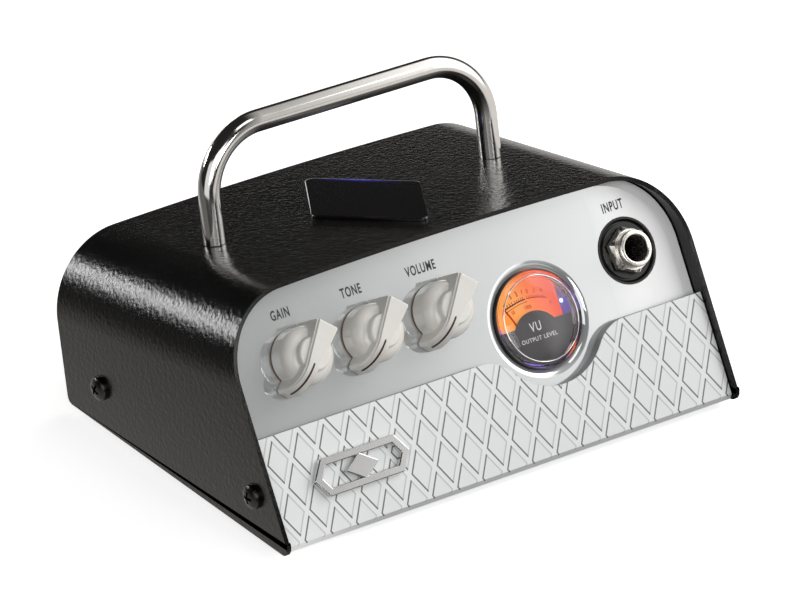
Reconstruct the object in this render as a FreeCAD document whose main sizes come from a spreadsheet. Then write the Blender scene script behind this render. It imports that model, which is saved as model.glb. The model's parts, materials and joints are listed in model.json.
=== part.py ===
import FreeCAD, Part
import math
import os
import re
import Sketcher

# Guitar amp head: a small bench-top amplifier in a bent sheet-steel cover.
# Frame: +X to the player's right, the front faces -Y, +Z up. The origin is the middle of the
# object's box at the level of the feet. All sizes are in millimetres and degrees.
#
# Four working frames are used. "level" starts at the front bottom edge of the cover.
# "tilt" is the level frame turned back with the top and the rear panel. "panel" lies on the
# outer face of the upper front panel: u to the right, v up the slope, h out of the panel.
# "rear" lies on the outer face of the rear panel, with its third axis pointing backwards.

os.makedirs("parts", exist_ok=True)
doc = FreeCAD.newDocument("AmpHead")
Vector = FreeCAD.Vector
Placement = FreeCAD.Placement
Rotation = FreeCAD.Rotation

SIZES = {
    # cover
    "cover_width": 131.0,
    "sheet_thick": 1.1,
    "panel_lean": 30.5,
    "top_fall": 11.0,
    "rim_height": 53.4,
    "corner_radius": 19.2,
    "crown_radius": 1500.0,
    "base_depth": 93.9,
    "skirt_round": 2.0,
    "front_edge_y": -51.56,
    "foot_drop": 2.0,
    "fit_gap": 0.3,
    # carry handle
    "handle_back": 57.9,
    "handle_span": 80.0,
    "handle_rise": 25.6,
    "handle_bend": 15.5,
    "rod_radius": 2.7,
    "stud_radius": 2.0,
    "stud_length": 7.5,
    # lozenge window and the parts below it
    "window_back": 53.0,
    "window_half_x": 15.8,
    "window_half_y": 26.4,
    "window_thick": 0.8,
    "window_round": 1.8,
    "window_chamfer": 0.55,
    # front panels
    "grey_recess": 4.5,
    "grey_thick": 1.2,
    "grey_low": 13.0,
    "white_proud": 3.0,
    "white_low": 1.9,
    "white_top": 28.5,
    "dip_radius": 16.2,
    "dip_shoulder": 10.5,
    "bracket_back": 5.7,
    # knobs and their potentiometers
    "knob_first_u": -45.8,
    "knob_pitch": 19.9,
    "knob_v": 43.5,
    "knob_gap": 0.4,
    "knob_radius": 7.0,
    "knob_shoulder": 4.8,
    "knob_deck": 7.0,
    "hub_radius": 4.1,
    "hub_top": 8.7,
    "fin_top": 9.95,
    "tail_reach": 7.5,
    "tail_width": 5.8,
    "beak_reach": 10.0,
    "beak_width": 4.4,
    "pointer_rest": 49.0,
    "shaft_radius": 3.0,
    "bushing_radius": 3.6,
    # level meter
    "meter_u": 20.05,
    "meter_v": 34.4,
    "dish_radius": 14.0,
    "dish_depth": 0.8,
    "bezel_radius": 12.0,
    "lens_radius": 11.65,
    "lens_face": 10.3,
    "pivot_drop": 11.0,
    "needle_reach": 16.8,
    "needle_rest": 22.3,
    # sockets
    "jack_u": 49.5,
    "jack_v": 43.2,
    "well_radius": 8.1,
    "barrel_radius": 4.5,
    "jack_bore": 3.2,
    "phones_bore": 1.8,
    "dc_bore": 2.8,
    # rear panel
    "rear_recess": 2.9,
    "rear_thick": 1.0,
    "rear_row": 37.0,
    # chassis and boards
    "tray_thick": 1.0,
    "tray_lift": 1.2,
    "screw_height": 10.3,
    "screw_front": 14.9,
    "screw_rear": 79.1,
    "screw_radius": 1.5,
    "foot_x": 52.0,
    "board_level": 8.2,
    "board_thick": 1.6,
}

sheet = doc.addObject("Spreadsheet::Sheet", "Sizes")
for row, (alias, value) in enumerate(SIZES.items(), start=1):
    sheet.set(f"A{row}", alias)
    sheet.set(f"B{row}", str(value))
    sheet.setAlias(f"B{row}", alias)
doc.recompute()

ANY_ALIAS = re.compile("[a-z]+(?:_[a-z]+)+")
finished = []


def size(alias):
    """A driving dimension as the sheet holds it."""
    return float(getattr(sheet, alias))


def formula(text):
    """An expression with each sheet alias written as Sizes.alias."""
    return ANY_ALIAS.sub(lambda found: "Sizes." + found.group(), str(text))


LEAN = math.radians(size("panel_lean"))
FALL = math.radians(size("top_fall"))
HALF_WIDTH = size("cover_width") / 2
TOP = size("rim_height") * (math.cos(FALL) + math.tan(LEAN) * math.sin(FALL))
REAR_EDGE = size("base_depth") * math.cos(FALL)
REAR_FACE = REAR_EDGE - size("rear_recess")
KNOB_NAMES = ("gain", "tone", "volume")
SIDES = (-1, 1)
X_AXIS = Vector(1, 0, 0)
Z_AXIS = Vector(0, 0, 1)

LEVEL = Placement(Vector(0, size("front_edge_y"), size("foot_drop")), Rotation())
TILT = Placement(Vector(), Rotation(X_AXIS, -size("top_fall")))
PANEL = Placement(Vector(), Rotation(X_AXIS, 90 - size("panel_lean")))
PANEL = PANEL * Placement(Vector(0, 0, -size("grey_recess")), Rotation())
FACING_BACK = Rotation(Z_AXIS, 180) * Rotation(X_AXIS, 90)


# ---------------------------------------------------------------- frames

def in_level(x=0, y=0, z=0, turn=None):
    return LEVEL * Placement(Vector(x, y, z), turn or Rotation())


def in_tilt(x=0, y=0, z=0, turn=None):
    return LEVEL * TILT * Placement(Vector(x, y, z), turn or Rotation())


def on_panel(u=0, v=0, rise=0, spin=0):
    return LEVEL * PANEL * Placement(Vector(u, v, rise), Rotation(Z_AXIS, spin))


def on_rear(x, up, turn=None):
    spot = Placement(Vector(x, REAR_FACE, up), FACING_BACK * (turn or Rotation()))
    return LEVEL * TILT * spot


# ---------------------------------------------------------------- building helpers

def origin_plane(body, role):
    return next(plane for plane in body.Origin.OriginFeatures if plane.Role == role)


def new_sketch(body, role):
    sketch = body.newObject("Sketcher::SketchObject", body.Name + "_sketch")
    sketch.AttachmentSupport = [(origin_plane(body, role), "")]
    sketch.MapMode = "FlatFace"
    return sketch


def add_outline(sketch, corners):
    """A closed polygon whose corners are bound to expressions."""
    count = len(corners)
    first = sketch.GeometryCount
    spots = [Vector(11 + 10 * math.cos(k * math.tau / count), 10 * math.sin(k * math.tau / count), 0)
             for k in range(count)]
    for k in range(count):
        sketch.addGeometry(Part.LineSegment(spots[k], spots[(k + 1) % count]), False)
    for k in range(count):
        sketch.addConstraint(Sketcher.Constraint("Coincident", first + k, 2, first + (k + 1) % count, 1))
    for k, (across, along) in enumerate(corners):
        bind_point(sketch, first + k, 1, spots[k], across, along)


def add_circle(sketch, across, along, radius):
    index = sketch.addGeometry(Part.Circle(Vector(1, 1, 0), Z_AXIS, 1), False)
    bind_point(sketch, index, 3, Vector(1, 1, 0), across, along)
    rule = sketch.addConstraint(Sketcher.Constraint("Radius", index, 1.0))
    sketch.setExpression(f"Constraints[{rule}]", formula(radius))


def bind_point(sketch, index, point, start, across, along):
    for kind, first_value, text in (("DistanceX", start.x, across), ("DistanceY", start.y, along)):
        rule = sketch.addConstraint(Sketcher.Constraint(kind, -1, 1, index, point, first_value))
        sketch.setExpression(f"Constraints[{rule}]", formula(text))


def turned(name, profile):
    """A PartDesign body turned about its Z axis from a (radius, height) outline."""
    body = doc.addObject("PartDesign::Body", name)
    sketch = new_sketch(body, "XZ_Plane")
    add_outline(sketch, profile)
    spin = body.newObject("PartDesign::Revolution", name + "_revolution")
    spin.Profile = sketch
    spin.ReferenceAxis = (sketch, ["V_Axis"])
    spin.Angle = 360
    return body


def padded(name, outline, thick, holes=(), role="XY_Plane", centred=False):
    """A PartDesign body padded from a polygon with round holes (x, y, radius)."""
    body = doc.addObject("PartDesign::Body", name)
    sketch = new_sketch(body, role)
    add_outline(sketch, outline)
    for hole in holes:
        add_circle(sketch, *hole)
    pad = body.newObject("PartDesign::Pad", name + "_pad")
    pad.Profile = sketch
    pad.setExpression("Length", formula(thick))
    pad.Midplane = centred
    return body


def hexagon(corner_radius):
    """Corner expressions of a regular hexagon."""
    return [(f"({corner_radius}) * cos({60 * k})", f"({corner_radius}) * sin({60 * k})")
            for k in range(6)]


def rectangle(left, low, right, high):
    return [(left, low), (right, low), (right, high), (left, high)]


def box(name, length, width, height, corner=(0, 0, 0)):
    solid = doc.addObject("Part::Box", name)
    for key, text in zip(("Length", "Width", "Height"), (length, width, height)):
        solid.setExpression(key, formula(text))
    for key, text in zip("xyz", corner):
        solid.setExpression(f"Placement.Base.{key}", formula(text))
    return solid


def rod(name, radius, length, base=(0, 0, 0), turn=None):
    solid = doc.addObject("Part::Cylinder", name)
    solid.setExpression("Radius", formula(radius))
    solid.setExpression("Height", formula(length))
    if turn:
        solid.Placement = Placement(Vector(), turn)
    for key, text in zip("xyz", base):
        solid.setExpression(f"Placement.Base.{key}", formula(text))
    return solid


def fused(name, pieces):
    joined = doc.addObject("Part::MultiFuse", name)
    joined.Shapes = pieces
    joined.Refine = True
    return joined


def cut(name, base, tools):
    tool = tools[0] if len(tools) == 1 else fused(name + "_tools", tools)
    result = doc.addObject("Part::Cut", name)
    result.Base = base
    result.Tool = tool
    return result


def grouped(name, pieces):
    group = doc.addObject("Part::Compound", name)
    group.Links = pieces
    return group


def placed(piece, placement):
    """A piece set in a frame of its own, so that its own offset stays bound to the sheet."""
    holder = grouped(piece.Name + "_placed", [piece])
    holder.Placement = placement
    return holder


def shaped(name, shape):
    piece = doc.addObject("Part::Feature", name)
    piece.Shape = shape
    return piece


def finish(piece, label, placement=None):
    """Name a finished sub-part, place it and keep it for the export."""
    piece.Label = label
    if placement:
        piece.Placement = placement
    finished.append(piece)


# ---------------------------------------------------------------- cover shape

def cover_section(shrink):
    """The cover's arched section as a face in the tilt frame's XZ plane, moved in by shrink."""
    half = HALF_WIDTH - shrink
    top = TOP - shrink
    corner = size("corner_radius") - shrink
    crown = size("crown_radius") - shrink
    centre_x = half - corner
    centre_z = top - crown + math.sqrt((crown - corner) ** 2 - centre_x ** 2)
    joint = math.atan2(centre_z - top + crown, centre_x)
    middle = joint / 2

    def on_corner(side, angle):
        return Vector(side * (centre_x + corner * math.cos(angle)), 0, centre_z + corner * math.sin(angle))

    low = -60
    edges = [
        Part.makeLine(Vector(-half, 0, low), Vector(-half, 0, centre_z)),
        Part.Arc(on_corner(-1, 0), on_corner(-1, middle), on_corner(-1, joint)).toShape(),
        Part.Arc(on_corner(-1, joint), Vector(0, 0, top), on_corner(1, joint)).toShape(),
        Part.Arc(on_corner(1, joint), on_corner(1, middle), on_corner(1, 0)).toShape(),
        Part.makeLine(Vector(half, 0, centre_z), Vector(half, 0, low)),
        Part.makeLine(Vector(half, 0, low), Vector(-half, 0, low)),
    ]
    return Part.Face(Part.Wire(edges))


def cover_volume(shrink):
    """The endless arch in the level frame."""
    reach = 300
    arch = cover_section(shrink)
    arch.translate(Vector(0, -reach / 2, 0))
    solid = arch.extrude(Vector(0, reach, 0))
    solid.Placement = TILT * solid.Placement
    return solid


def side_prism(low=0.0):
    """The cover's side view: leaning front, leaning rear, level bottom."""
    height = 100
    lean = math.tan(LEAN)
    fall = math.tan(FALL)
    corners = [
        Vector(-100, low * lean, low),
        Vector(-100, height * lean, height),
        Vector(-100, size("base_depth") + height * fall, height),
        Vector(-100, size("base_depth") + low * fall, low),
    ]
    return Part.Face(Part.makePolygon(corners + corners[:1])).extrude(Vector(200, 0, 0))


def as_local(shape, frame):
    """A level-frame shape seen from another frame."""
    moved = shape.copy()
    moved.Placement = frame.inverse() * moved.Placement
    return moved


def crown_sag(x):
    return x ** 2 / (2 * size("crown_radius"))


def lozenge(half_x, half_y, rounding, thick):
    """A rhombus block with rounded upright edges, centred on Z."""
    corners = [Vector(half_x, 0, 0), Vector(0, half_y, 0), Vector(-half_x, 0, 0), Vector(0, -half_y, 0)]
    block = Part.Face(Part.makePolygon(corners + corners[:1])).extrude(Vector(0, 0, thick))
    upright = [edge for edge in block.Edges if abs(edge.tangentAt(edge.FirstParameter).z) > 0.9]
    return block.makeFillet(rounding, upright)


def round_tool(radius, start, direction, length):
    return Part.makeCylinder(radius, length, start, direction)


def top_cover():
    shell = cover_volume(0).cut(cover_volume(size("sheet_thick"))).common(side_prism())
    skirt = []
    for edge in shell.Edges:
        ends = [vertex.Point for vertex in edge.Vertexes]
        along_x = len(ends) == 2 and abs(abs(ends[0].x - ends[1].x) - size("sheet_thick")) < 0.01
        if along_x and max(abs(end.z) for end in ends) < 0.01:
            skirt.append(edge)
    shell = shell.makeFillet(size("skirt_round"), skirt)
    for side in SIDES:
        for y in (size("screw_front"), size("screw_rear")):
            start = Vector(side * (HALF_WIDTH - 5), y, size("screw_height"))
            shell = shell.cut(round_tool(size("screw_radius") + 0.2, start, Vector(side, 0, 0), 10))
        stud = round_tool(size("stud_radius") + 0.2, Vector(side * size("handle_span") / 2,
                          size("handle_back"), TOP - 6), Z_AXIS, 10)
        stud.Placement = TILT * stud.Placement
        shell = shell.cut(stud)
    opening = lozenge(size("window_half_x") - 2.5, size("window_half_y") - 4, 2.0, 10)
    opening.Placement = TILT * Placement(Vector(0, size("window_back"), TOP - 5), Rotation())
    finish(shaped("TopCover", shell.cut(opening)), "top_cover", LEVEL)


# ---------------------------------------------------------------- handle

def carry_handle():
    half = size("handle_span") / 2
    bend = size("handle_bend")
    bar = TOP + size("handle_rise")
    foot = TOP - crown_sag(half - size("rod_radius"))
    lean_in = bend * (1 - math.sqrt(0.5))
    path = Part.Wire([
        Part.makeLine(Vector(-half, 0, foot), Vector(-half, 0, bar - bend)),
        Part.Arc(Vector(-half, 0, bar - bend), Vector(-half + lean_in, 0, bar - lean_in),
                 Vector(-half + bend, 0, bar)).toShape(),
        Part.makeLine(Vector(-half + bend, 0, bar), Vector(half - bend, 0, bar)),
        Part.Arc(Vector(half - bend, 0, bar), Vector(half - lean_in, 0, bar - lean_in),
                 Vector(half, 0, bar - bend)).toShape(),
        Part.makeLine(Vector(half, 0, bar - bend), Vector(half, 0, foot)),
    ])
    ring = Part.Wire(Part.makeCircle(size("rod_radius"), Vector(-half, 0, foot), Z_AXIS))
    bow = path.makePipeShell([ring], True, True)
    for side in SIDES:
        start = Vector(side * half, 0, foot - size("stud_length"))
        bow = bow.fuse(round_tool(size("stud_radius"), start, Z_AXIS, size("stud_length") + 1))
    finish(shaped("CarryHandle", bow.removeSplitter()), "carry_handle", in_tilt(y=size("handle_back")))


def handle_fixings():
    """A washer and a nut on each stud of the handle, inside the cover."""
    half = size("handle_span") / 2
    under = TOP - size("sheet_thick") - crown_sag(half + 5)
    washers = []
    nuts = []
    for side in SIDES:
        washer = turned(f"HandleWasher{side + 1}", rectangle("stud_radius + 0.15", 0, 4.8, 0.8))
        washer.Placement = Placement(Vector(side * half, 0, under - 0.85), Rotation())
        washers.append(washer)
        nut = padded(f"HandleNut{side + 1}", hexagon("4.04"), 3.2, [(0, 0, "stud_radius + 0.02")])
        nut.Placement = Placement(Vector(side * half, 0, under - 4.1), Rotation())
        nuts.append(nut)
    finish(grouped("HandleWashers", washers), "handle_washers", in_tilt(y=size("handle_back")))
    finish(grouped("HandleNuts", nuts), "handle_nuts", in_tilt(y=size("handle_back")))


# ---------------------------------------------------------------- window and glow tube

def tube_window():
    plate = lozenge(size("window_half_x"), size("window_half_y"), size("window_round"), size("window_thick"))
    high = [edge for edge in plate.Edges
            if min(vertex.Point.z for vertex in edge.Vertexes) > size("window_thick") - 0.01]
    plate = plate.makeChamfer(size("window_chamfer"), high)
    boss = lozenge(size("window_half_x") - 2.7, size("window_half_y") - 4.3, 1.8, 1.6)
    boss.translate(Vector(0, 0, -1.5))
    finish(shaped("TubeWindow", plate.fuse(boss)), "tube_window", in_tilt(0, size("window_back"), TOP + 0.02))


def tube_group():
    """The flat glow tube on its board, hung below the window on four spacers."""
    board_low = TOP - 12.5
    board = box("TubeBoardPlate", 30, 30, 1.2, (-15, -15, 0))
    holes = [rod(f"TubeBoardHole{k}", 1.0, 5, (x, y, -1))
             for k, (x, y) in enumerate([(-12.5, -12.5), (12.5, -12.5), (-12.5, 12.5), (12.5, 12.5)])]
    finish(cut("TubeBoard", board, holes), "tube_board", in_tilt(0, size("window_back") + 1, board_low))
    envelope = box("TubeGlass", 22, 16, 4, (-11, -8, 1.2))
    rounded = doc.addObject("Part::Fillet", "TubeModule")
    rounded.Base = envelope
    doc.recompute()
    rounded.Edges = [(index + 1, 0.8, 0.8) for index in range(len(envelope.Shape.Edges))]
    finish(rounded, "tube_module", in_tilt(0, size("window_back") + 1, board_low))
    spacers = []
    for k, (x, y) in enumerate([(-12.5, -12.5), (12.5, -12.5), (-12.5, 12.5), (12.5, 12.5)]):
        spacer = rod(f"TubeSpacer{k}", 1.9, 10.0, (x, y, 1.2))
        spacers.append(spacer)
    finish(grouped("TubeSpacers", spacers), "tube_spacers", in_tilt(0, size("window_back") + 1, board_low))
    led = turned("GlowLed", [(0, 0), (1.5, 0), (1.5, 2.6), (1.1, 3.6), (0, 4.0)])
    finish(led, "glow_led", in_tilt(0, size("window_back") + 11.5, board_low + 1.25))


# ---------------------------------------------------------------- front panels

def panel_slab(shrink, low, high, back, front):
    """The room inside the cover between two heights of the panel frame, from v low to high."""
    slab = Part.makeBox(2 * HALF_WIDTH, high - low, front - back, Vector(-HALF_WIDTH, low, back))
    return slab.common(as_local(cover_volume(shrink), PANEL))


def dish():
    """The rolled-in edge of the meter's hole, turned about the meter's axis."""
    outer = size("dish_radius")
    depth = size("dish_depth")
    inner = size("bezel_radius") + 0.1
    back = -size("grey_thick")
    bend = ((outer - inner) ** 2 + depth ** 2) / (2 * depth)
    half_turn = math.asin((outer - inner) / bend) / 2
    knee = Vector(outer - bend * math.sin(half_turn), 0, bend * (math.cos(half_turn) - 1))
    edges = [
        Part.Arc(Vector(outer, 0, 0), knee, Vector(inner, 0, -depth)).toShape(),
        Part.makeLine(Vector(inner, 0, -depth), Vector(inner, 0, back - 0.7)),
        Part.makeLine(Vector(inner, 0, back - 0.7), Vector(outer, 0, back)),
        Part.makeLine(Vector(outer, 0, back), Vector(outer, 0, 0)),
    ]
    ring = Part.Face(Part.Wire(edges)).revolve(Vector(), Z_AXIS, 360)
    ring.translate(Vector(size("meter_u"), size("meter_v"), 0))
    return ring


def knob_places():
    return [(size("knob_first_u") + k * size("knob_pitch"), size("knob_v")) for k in range(len(KNOB_NAMES))]


def upper_front_panel():
    inset = size("sheet_thick") + size("fit_gap")
    plate = panel_slab(inset, size("grey_low"), 90, -size("grey_thick"), 0)
    holes = [(size("meter_u"), size("meter_v"), size("dish_radius"))]
    holes += [(u, v, size("shaft_radius") + 0.4) for u, v in knob_places()]
    holes += [(size("jack_u"), size("jack_v"), size("well_radius") + 0.1)]
    for u, v, radius in holes:
        plate = plate.cut(round_tool(radius, Vector(u, v, -5), Z_AXIS, 10))
    finish(shaped("UpperFrontPanel", plate.fuse(dish()).removeSplitter()), "upper_front_panel", on_panel())


def wave_face(inset):
    """The white panel's outline: straight sides and a top edge that dips round the meter."""
    half = HALF_WIDTH - size("sheet_thick") - size("fit_gap") - inset
    low = size("white_low") + inset
    top = size("white_top") - inset
    dip = size("dip_radius") + inset
    centre = Vector(size("meter_u"), size("meter_v"), 0)
    pieces = []
    ends = []
    shoulder = size("dip_shoulder") - inset
    for side in SIDES:
        drop = centre.y - (top - shoulder)
        middle = Vector(centre.x + side * math.sqrt((dip + shoulder) ** 2 - drop ** 2), top - shoulder, 0)
        touch = centre + (middle - centre) * (dip / (dip + shoulder))
        flat = Vector(middle.x, top, 0)
        halfway = (flat + touch) * 0.5 - middle
        bulge = middle + halfway * (shoulder / halfway.Length)
        pieces.append(Part.Arc(flat, bulge, touch).toShape())
        ends.append((flat, touch))
    bottom_of_dip = centre - Vector(0, dip, 0)
    (left_flat, left_touch), (right_flat, right_touch) = ends
    edges = [
        Part.makeLine(Vector(-half, low, 0), Vector(-half, top, 0)),
        Part.makeLine(Vector(-half, top, 0), left_flat),
        pieces[0],
        Part.Arc(left_touch, bottom_of_dip, right_touch).toShape(),
        pieces[1],
        Part.makeLine(right_flat, Vector(half, top, 0)),
        Part.makeLine(Vector(half, top, 0), Vector(half, low, 0)),
        Part.makeLine(Vector(half, low, 0), Vector(-half, low, 0)),
    ]
    return Part.Face(Part.Wire(Part.__sortEdges__(edges)))


def lower_front_panel():
    """A shallow moulded tray, open at the back, with a folded bottom edge."""
    proud = size("white_proud")
    back = 0.05
    shell = wave_face(0).extrude(Vector(0, 0, proud - back))
    shell.translate(Vector(0, 0, back))
    low = size("white_low")
    fold = [edge for edge in shell.Edges
            if all(abs(vertex.Point.y - low) < 0.01 and vertex.Point.z > proud - 0.01
                   for vertex in edge.Vertexes)]
    shell = shell.makeChamfer(1.1, fold)
    hollow = wave_face(1.5).extrude(Vector(0, 0, 1.4 - back))
    hollow.translate(Vector(0, 0, -0.05))
    above_skirt = as_local(Part.makeBox(200, 200, 100, Vector(-100, -50, 0)), PANEL)
    finish(shaped("LowerFrontPanel", shell.cut(hollow).common(above_skirt)), "lower_front_panel", on_panel())


def front_bracket():
    """The steel plate behind the panels that carries the controls, with a foot on the tray."""
    back = -size("bracket_back")
    plate = panel_slab(size("sheet_thick") + 4, 9.3, 52, back, back + 1)
    foot = Part.makeBox(100, 9, 1, Vector(-50, 8.6, size("tray_lift") + size("tray_thick") + 0.05))
    plate = plate.fuse(as_local(foot, PANEL))
    tools = [round_tool(size("bushing_radius") + 0.1, Vector(u, v, back - 2), Z_AXIS, 5)
             for u, v in knob_places()]
    tools.append(round_tool(size("barrel_radius") + 0.1, Vector(size("jack_u"), size("jack_v"), back - 2),
                            Z_AXIS, 5))
    tools.append(Part.makeBox(28.6, 33.6, 5, Vector(size("meter_u") - 14.3, size("meter_v") - 17.3, back - 2)))
    for tool in tools:
        plate = plate.cut(tool)
    finish(shaped("FrontBracket", plate.removeSplitter()), "front_bracket", on_panel())


def front_emblem():
    """A plain chrome bar badge: a long hexagonal frame with a lozenge in it."""
    frame = [(-13.4, 0), (-10.4, -4.5), (10.4, -4.5), (13.4, 0), (10.4, 4.5), (-10.4, 4.5)]
    hole = [(-11, 0), (-9.3, -2.7), (9.3, -2.7), (11, 0), (9.3, 2.7), (-9.3, 2.7)]
    lozenge_mark = [(-4.8, 0), (0, -3.2), (4.8, 0), (0, 3.2)]
    ring = cut("EmblemRing", padded("EmblemFrame", frame, 1.5), [padded("EmblemHole", hole, 3)])
    finish(fused("FrontEmblem", [ring, padded("EmblemMark", lozenge_mark, 1.5)]), "front_emblem",
           on_panel(-40, 15.5, size("white_proud") + 0.02))


# ---------------------------------------------------------------- knobs and potentiometers

def knob_base(name):
    """The turned skirt, deck and hub of a pointer knob, bored for its shaft."""
    return turned(name, [
        ("shaft_radius", 0), ("knob_radius", 0), ("knob_radius", "knob_shoulder"),
        ("knob_radius - 0.6", "knob_shoulder + 1.3"), ("knob_radius - 1.6", "knob_deck - 0.2"),
        ("hub_radius + 0.1", "knob_deck"), ("hub_radius", "hub_top"), (0, "hub_top"),
        (0, "knob_deck - 1"), ("shaft_radius", "knob_deck - 1")])


def knob_fin(name):
    """The pointer: a flat-topped wedge whose beak curves down to the panel."""
    outline = [
        ("tail_reach", "-tail_width / 2"), ("tail_reach", "tail_width / 2"), (0, 2.0),
        ("-beak_reach + 1", "beak_width / 2"), ("-beak_reach", 1.2), ("-beak_reach", -1.2),
        ("-beak_reach + 1", "-beak_width / 2"), (0, -2.0)]
    wedge = padded(name + "Wedge", outline, "fin_top")
    side = [
        ("tail_reach - 0.3", 0), ("tail_reach", "fin_top"), (-3.4, "fin_top"), (-5.4, "fin_top - 0.6"),
        (-7.0, "fin_top - 1.7"), (-8.3, "fin_top - 3.4"), (-9.3, "fin_top - 5.8"),
        ("-beak_reach", "fin_top - 9"), ("-beak_reach", 0)]
    profile = padded(name + "Side", side, 20, role="XZ_Plane", centred=True)
    shape = doc.addObject("Part::Common", name + "Fin")
    shape.Base = wedge
    shape.Tool = profile
    bore = rod(name + "Bore", "shaft_radius", "knob_deck - 1")
    return cut(name + "BoredFin", shape, [bore])


def control(index, name):
    """A knob with its shaft, and the potentiometer that they turn in."""
    u, v = knob_places()[index]
    title = name.title()
    knob = fused(title + "Knob", [knob_base(title + "Base"), knob_fin(title)])
    finish(knob, name + "_knob", on_panel(u, v, size("knob_gap"), size("pointer_rest")))
    shaft = rod(title + "Shaft", "shaft_radius", "knob_deck - 1 + 13.9")
    finish(placed(shaft, on_panel(u, v, size("knob_gap") - 13.9)), name + "_shaft")
    case = box(title + "Case", 9.5, 11, 6, (-4.75, -6, -13.95))
    bushing = rod(title + "Bushing", "bushing_radius", 5.4, (0, 0, -7.98))
    bore = rod(title + "PotBore", "shaft_radius + 0.05", 12, (0, 0, -13.6))
    pot = cut(title + "Pot", fused(title + "PotBlank", [case, bushing]), [bore])
    finish(pot, name + "_pot", on_panel(u, v))


def pot_fixings():
    """A washer and a nut on each bushing, between the bracket and the panel."""
    rings = []
    for k, (u, v) in enumerate(knob_places()):
        washer = turned(f"PotWasher{k}", rectangle("bushing_radius + 0.1", 0, 5.6, 0.4))
        washer.Placement = Placement(Vector(u, v, -4.65), Rotation())
        rings.append(washer)
        nut = padded(f"PotNut{k}", hexagon("5.2"), 1.5, [(0, 0, "bushing_radius + 0.02")])
        nut.Placement = Placement(Vector(u, v, -4.2), Rotation())
        rings.append(nut)
    finish(grouped("PotNuts", rings), "pot_nuts", on_panel())


# ---------------------------------------------------------------- level meter

def level_meter():
    u, v = size("meter_u"), size("meter_v")
    finish(turned("MeterBezel", [("bezel_radius - 0.3", -2.1), ("bezel_radius", -2.1),
                                 ("bezel_radius", 0.3), ("bezel_radius - 0.1", 0.45),
                                 ("bezel_radius - 0.3", 0.45)]), "meter_bezel", on_panel(u, v))
    finish(turned("MeterLens", [("lens_radius - 0.8", -2.2), ("lens_radius", -2.2), ("lens_radius", 0.45),
                                ("lens_radius - 0.3", 0.8), ("lens_face + 0.1", 1.2), ("lens_face", 1.4),
                                ("lens_face * 0.8", 1.62), ("lens_face * 0.55", 1.78),
                                ("lens_face * 0.28", 1.88), (0, 1.9), (0, 1.0), ("lens_face - 0.4", 0.5),
                                ("lens_radius - 0.8", 0.1)]), "meter_lens", on_panel(u, v))
    movement = rod("MovementCan", 3.2, 3.4, (0, "-pivot_drop", -8.0))
    jewel = rod("MovementJewel", 0.53, 4.5, (0, "-pivot_drop", -7.2))
    finish(cut("MeterMovement", movement, [jewel]), "meter_movement", on_panel(u, v))
    face = padded("DialPlate", rectangle(-13.4, -16.4, 13.4, 13.0), 0.3, [(0, "-pivot_drop", 1.2)])
    finish(face, "meter_dial", on_panel(u, v, -4.05))
    below = box("MaskHalf", 30, 15.7, 0.2, (-15, -16.6, 0))
    hump = rod("MaskHump", 6.8, 0.2, (0, "-pivot_drop + 6.4", 0))
    round_edge = rod("MaskEdge", "lens_radius - 0.2", 0.2)
    mask = doc.addObject("Part::Common", "MeterMask")
    mask.Base = fused("MaskBlank", [below, hump])
    mask.Tool = round_edge
    finish(mask, "meter_mask", on_panel(u, v, -2.55))
    outer = box("HousingOuter", 28, 31, 7.2, (-14, -17, -9.4))
    inner = box("HousingInner", 27, 30, 8, (-13.5, -16.5, -8.6))
    finish(cut("MeterHousing", outer, [inner]), "meter_housing", on_panel(u, v))
    lamp_board = box("LampPlate", 18, 7, 0.8, (-9, 2, -8.5))
    lamps = [box(f"Lamp{side + 1}", 3, 2.8, 1.4, (5.5 * side - 1.5, 4, -7.7)) for side in SIDES]
    finish(fused("MeterLamp", [lamp_board] + lamps), "meter_lamp", on_panel(u, v))
    pointer = padded("NeedlePointer", [(-0.35, -2.2), (0.35, -2.2), (0.14, "needle_reach"),
                                       (-0.14, "needle_reach")], 0.2)
    pivot = rod("NeedlePivot", 0.48, 3.0, (0, 0, -2.8))
    hub = rod("NeedleHub", 0.9, 0.2)
    finish(fused("MeterNeedle", [pointer, pivot, hub]), "meter_needle",
           on_panel(u, v - size("pivot_drop"), -3.35, size("needle_rest")))


# ---------------------------------------------------------------- input socket

def input_socket():
    u, v = size("jack_u"), size("jack_v")
    finish(turned("InputWell", [("barrel_radius + 0.1", -1.9), ("well_radius", -1.9), ("well_radius", 0.05),
                                ("well_radius - 0.45", 0.05), ("well_radius - 1.0", -0.7),
                                ("barrel_radius + 0.1", -0.7)]), "input_well", on_panel(u, v))
    finish(turned("InputWasher", rectangle("barrel_radius + 0.1", -0.65, 6.7, -0.15)),
           "input_washer", on_panel(u, v))
    finish(padded("InputNut", hexagon("5.95"), 2.55, [(0, 0, "barrel_radius + 0.02")]),
           "input_nut", on_panel(u, v, -0.1, 36))
    finish(turned("InputBarrel", [("jack_bore", -5.75), ("barrel_radius", -5.75), ("barrel_radius", 3.9),
                                  ("barrel_radius - 0.5", 4.4), ("jack_bore + 0.35", 4.4),
                                  ("jack_bore", 4.05)]), "input_barrel", on_panel(u, v))
    case = box("InputCase", 14, 14, 22, (-7, -7, -27.8))
    bore = rod("InputCaseBore", "jack_bore", 20, (0, 0, -25.8))
    finish(cut("InputJackBody", case, [bore]), "input_jack_body", on_panel(u, v))
    strips = [box(f"InputContact{k}", 2.4, 0.5, 20, (3.2 * k - 4.4, 7.05, -27)) for k in range(3)]
    finish(grouped("InputContacts", strips), "input_contacts", on_panel(u, v))


# ---------------------------------------------------------------- rear panel and its fittings

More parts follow.
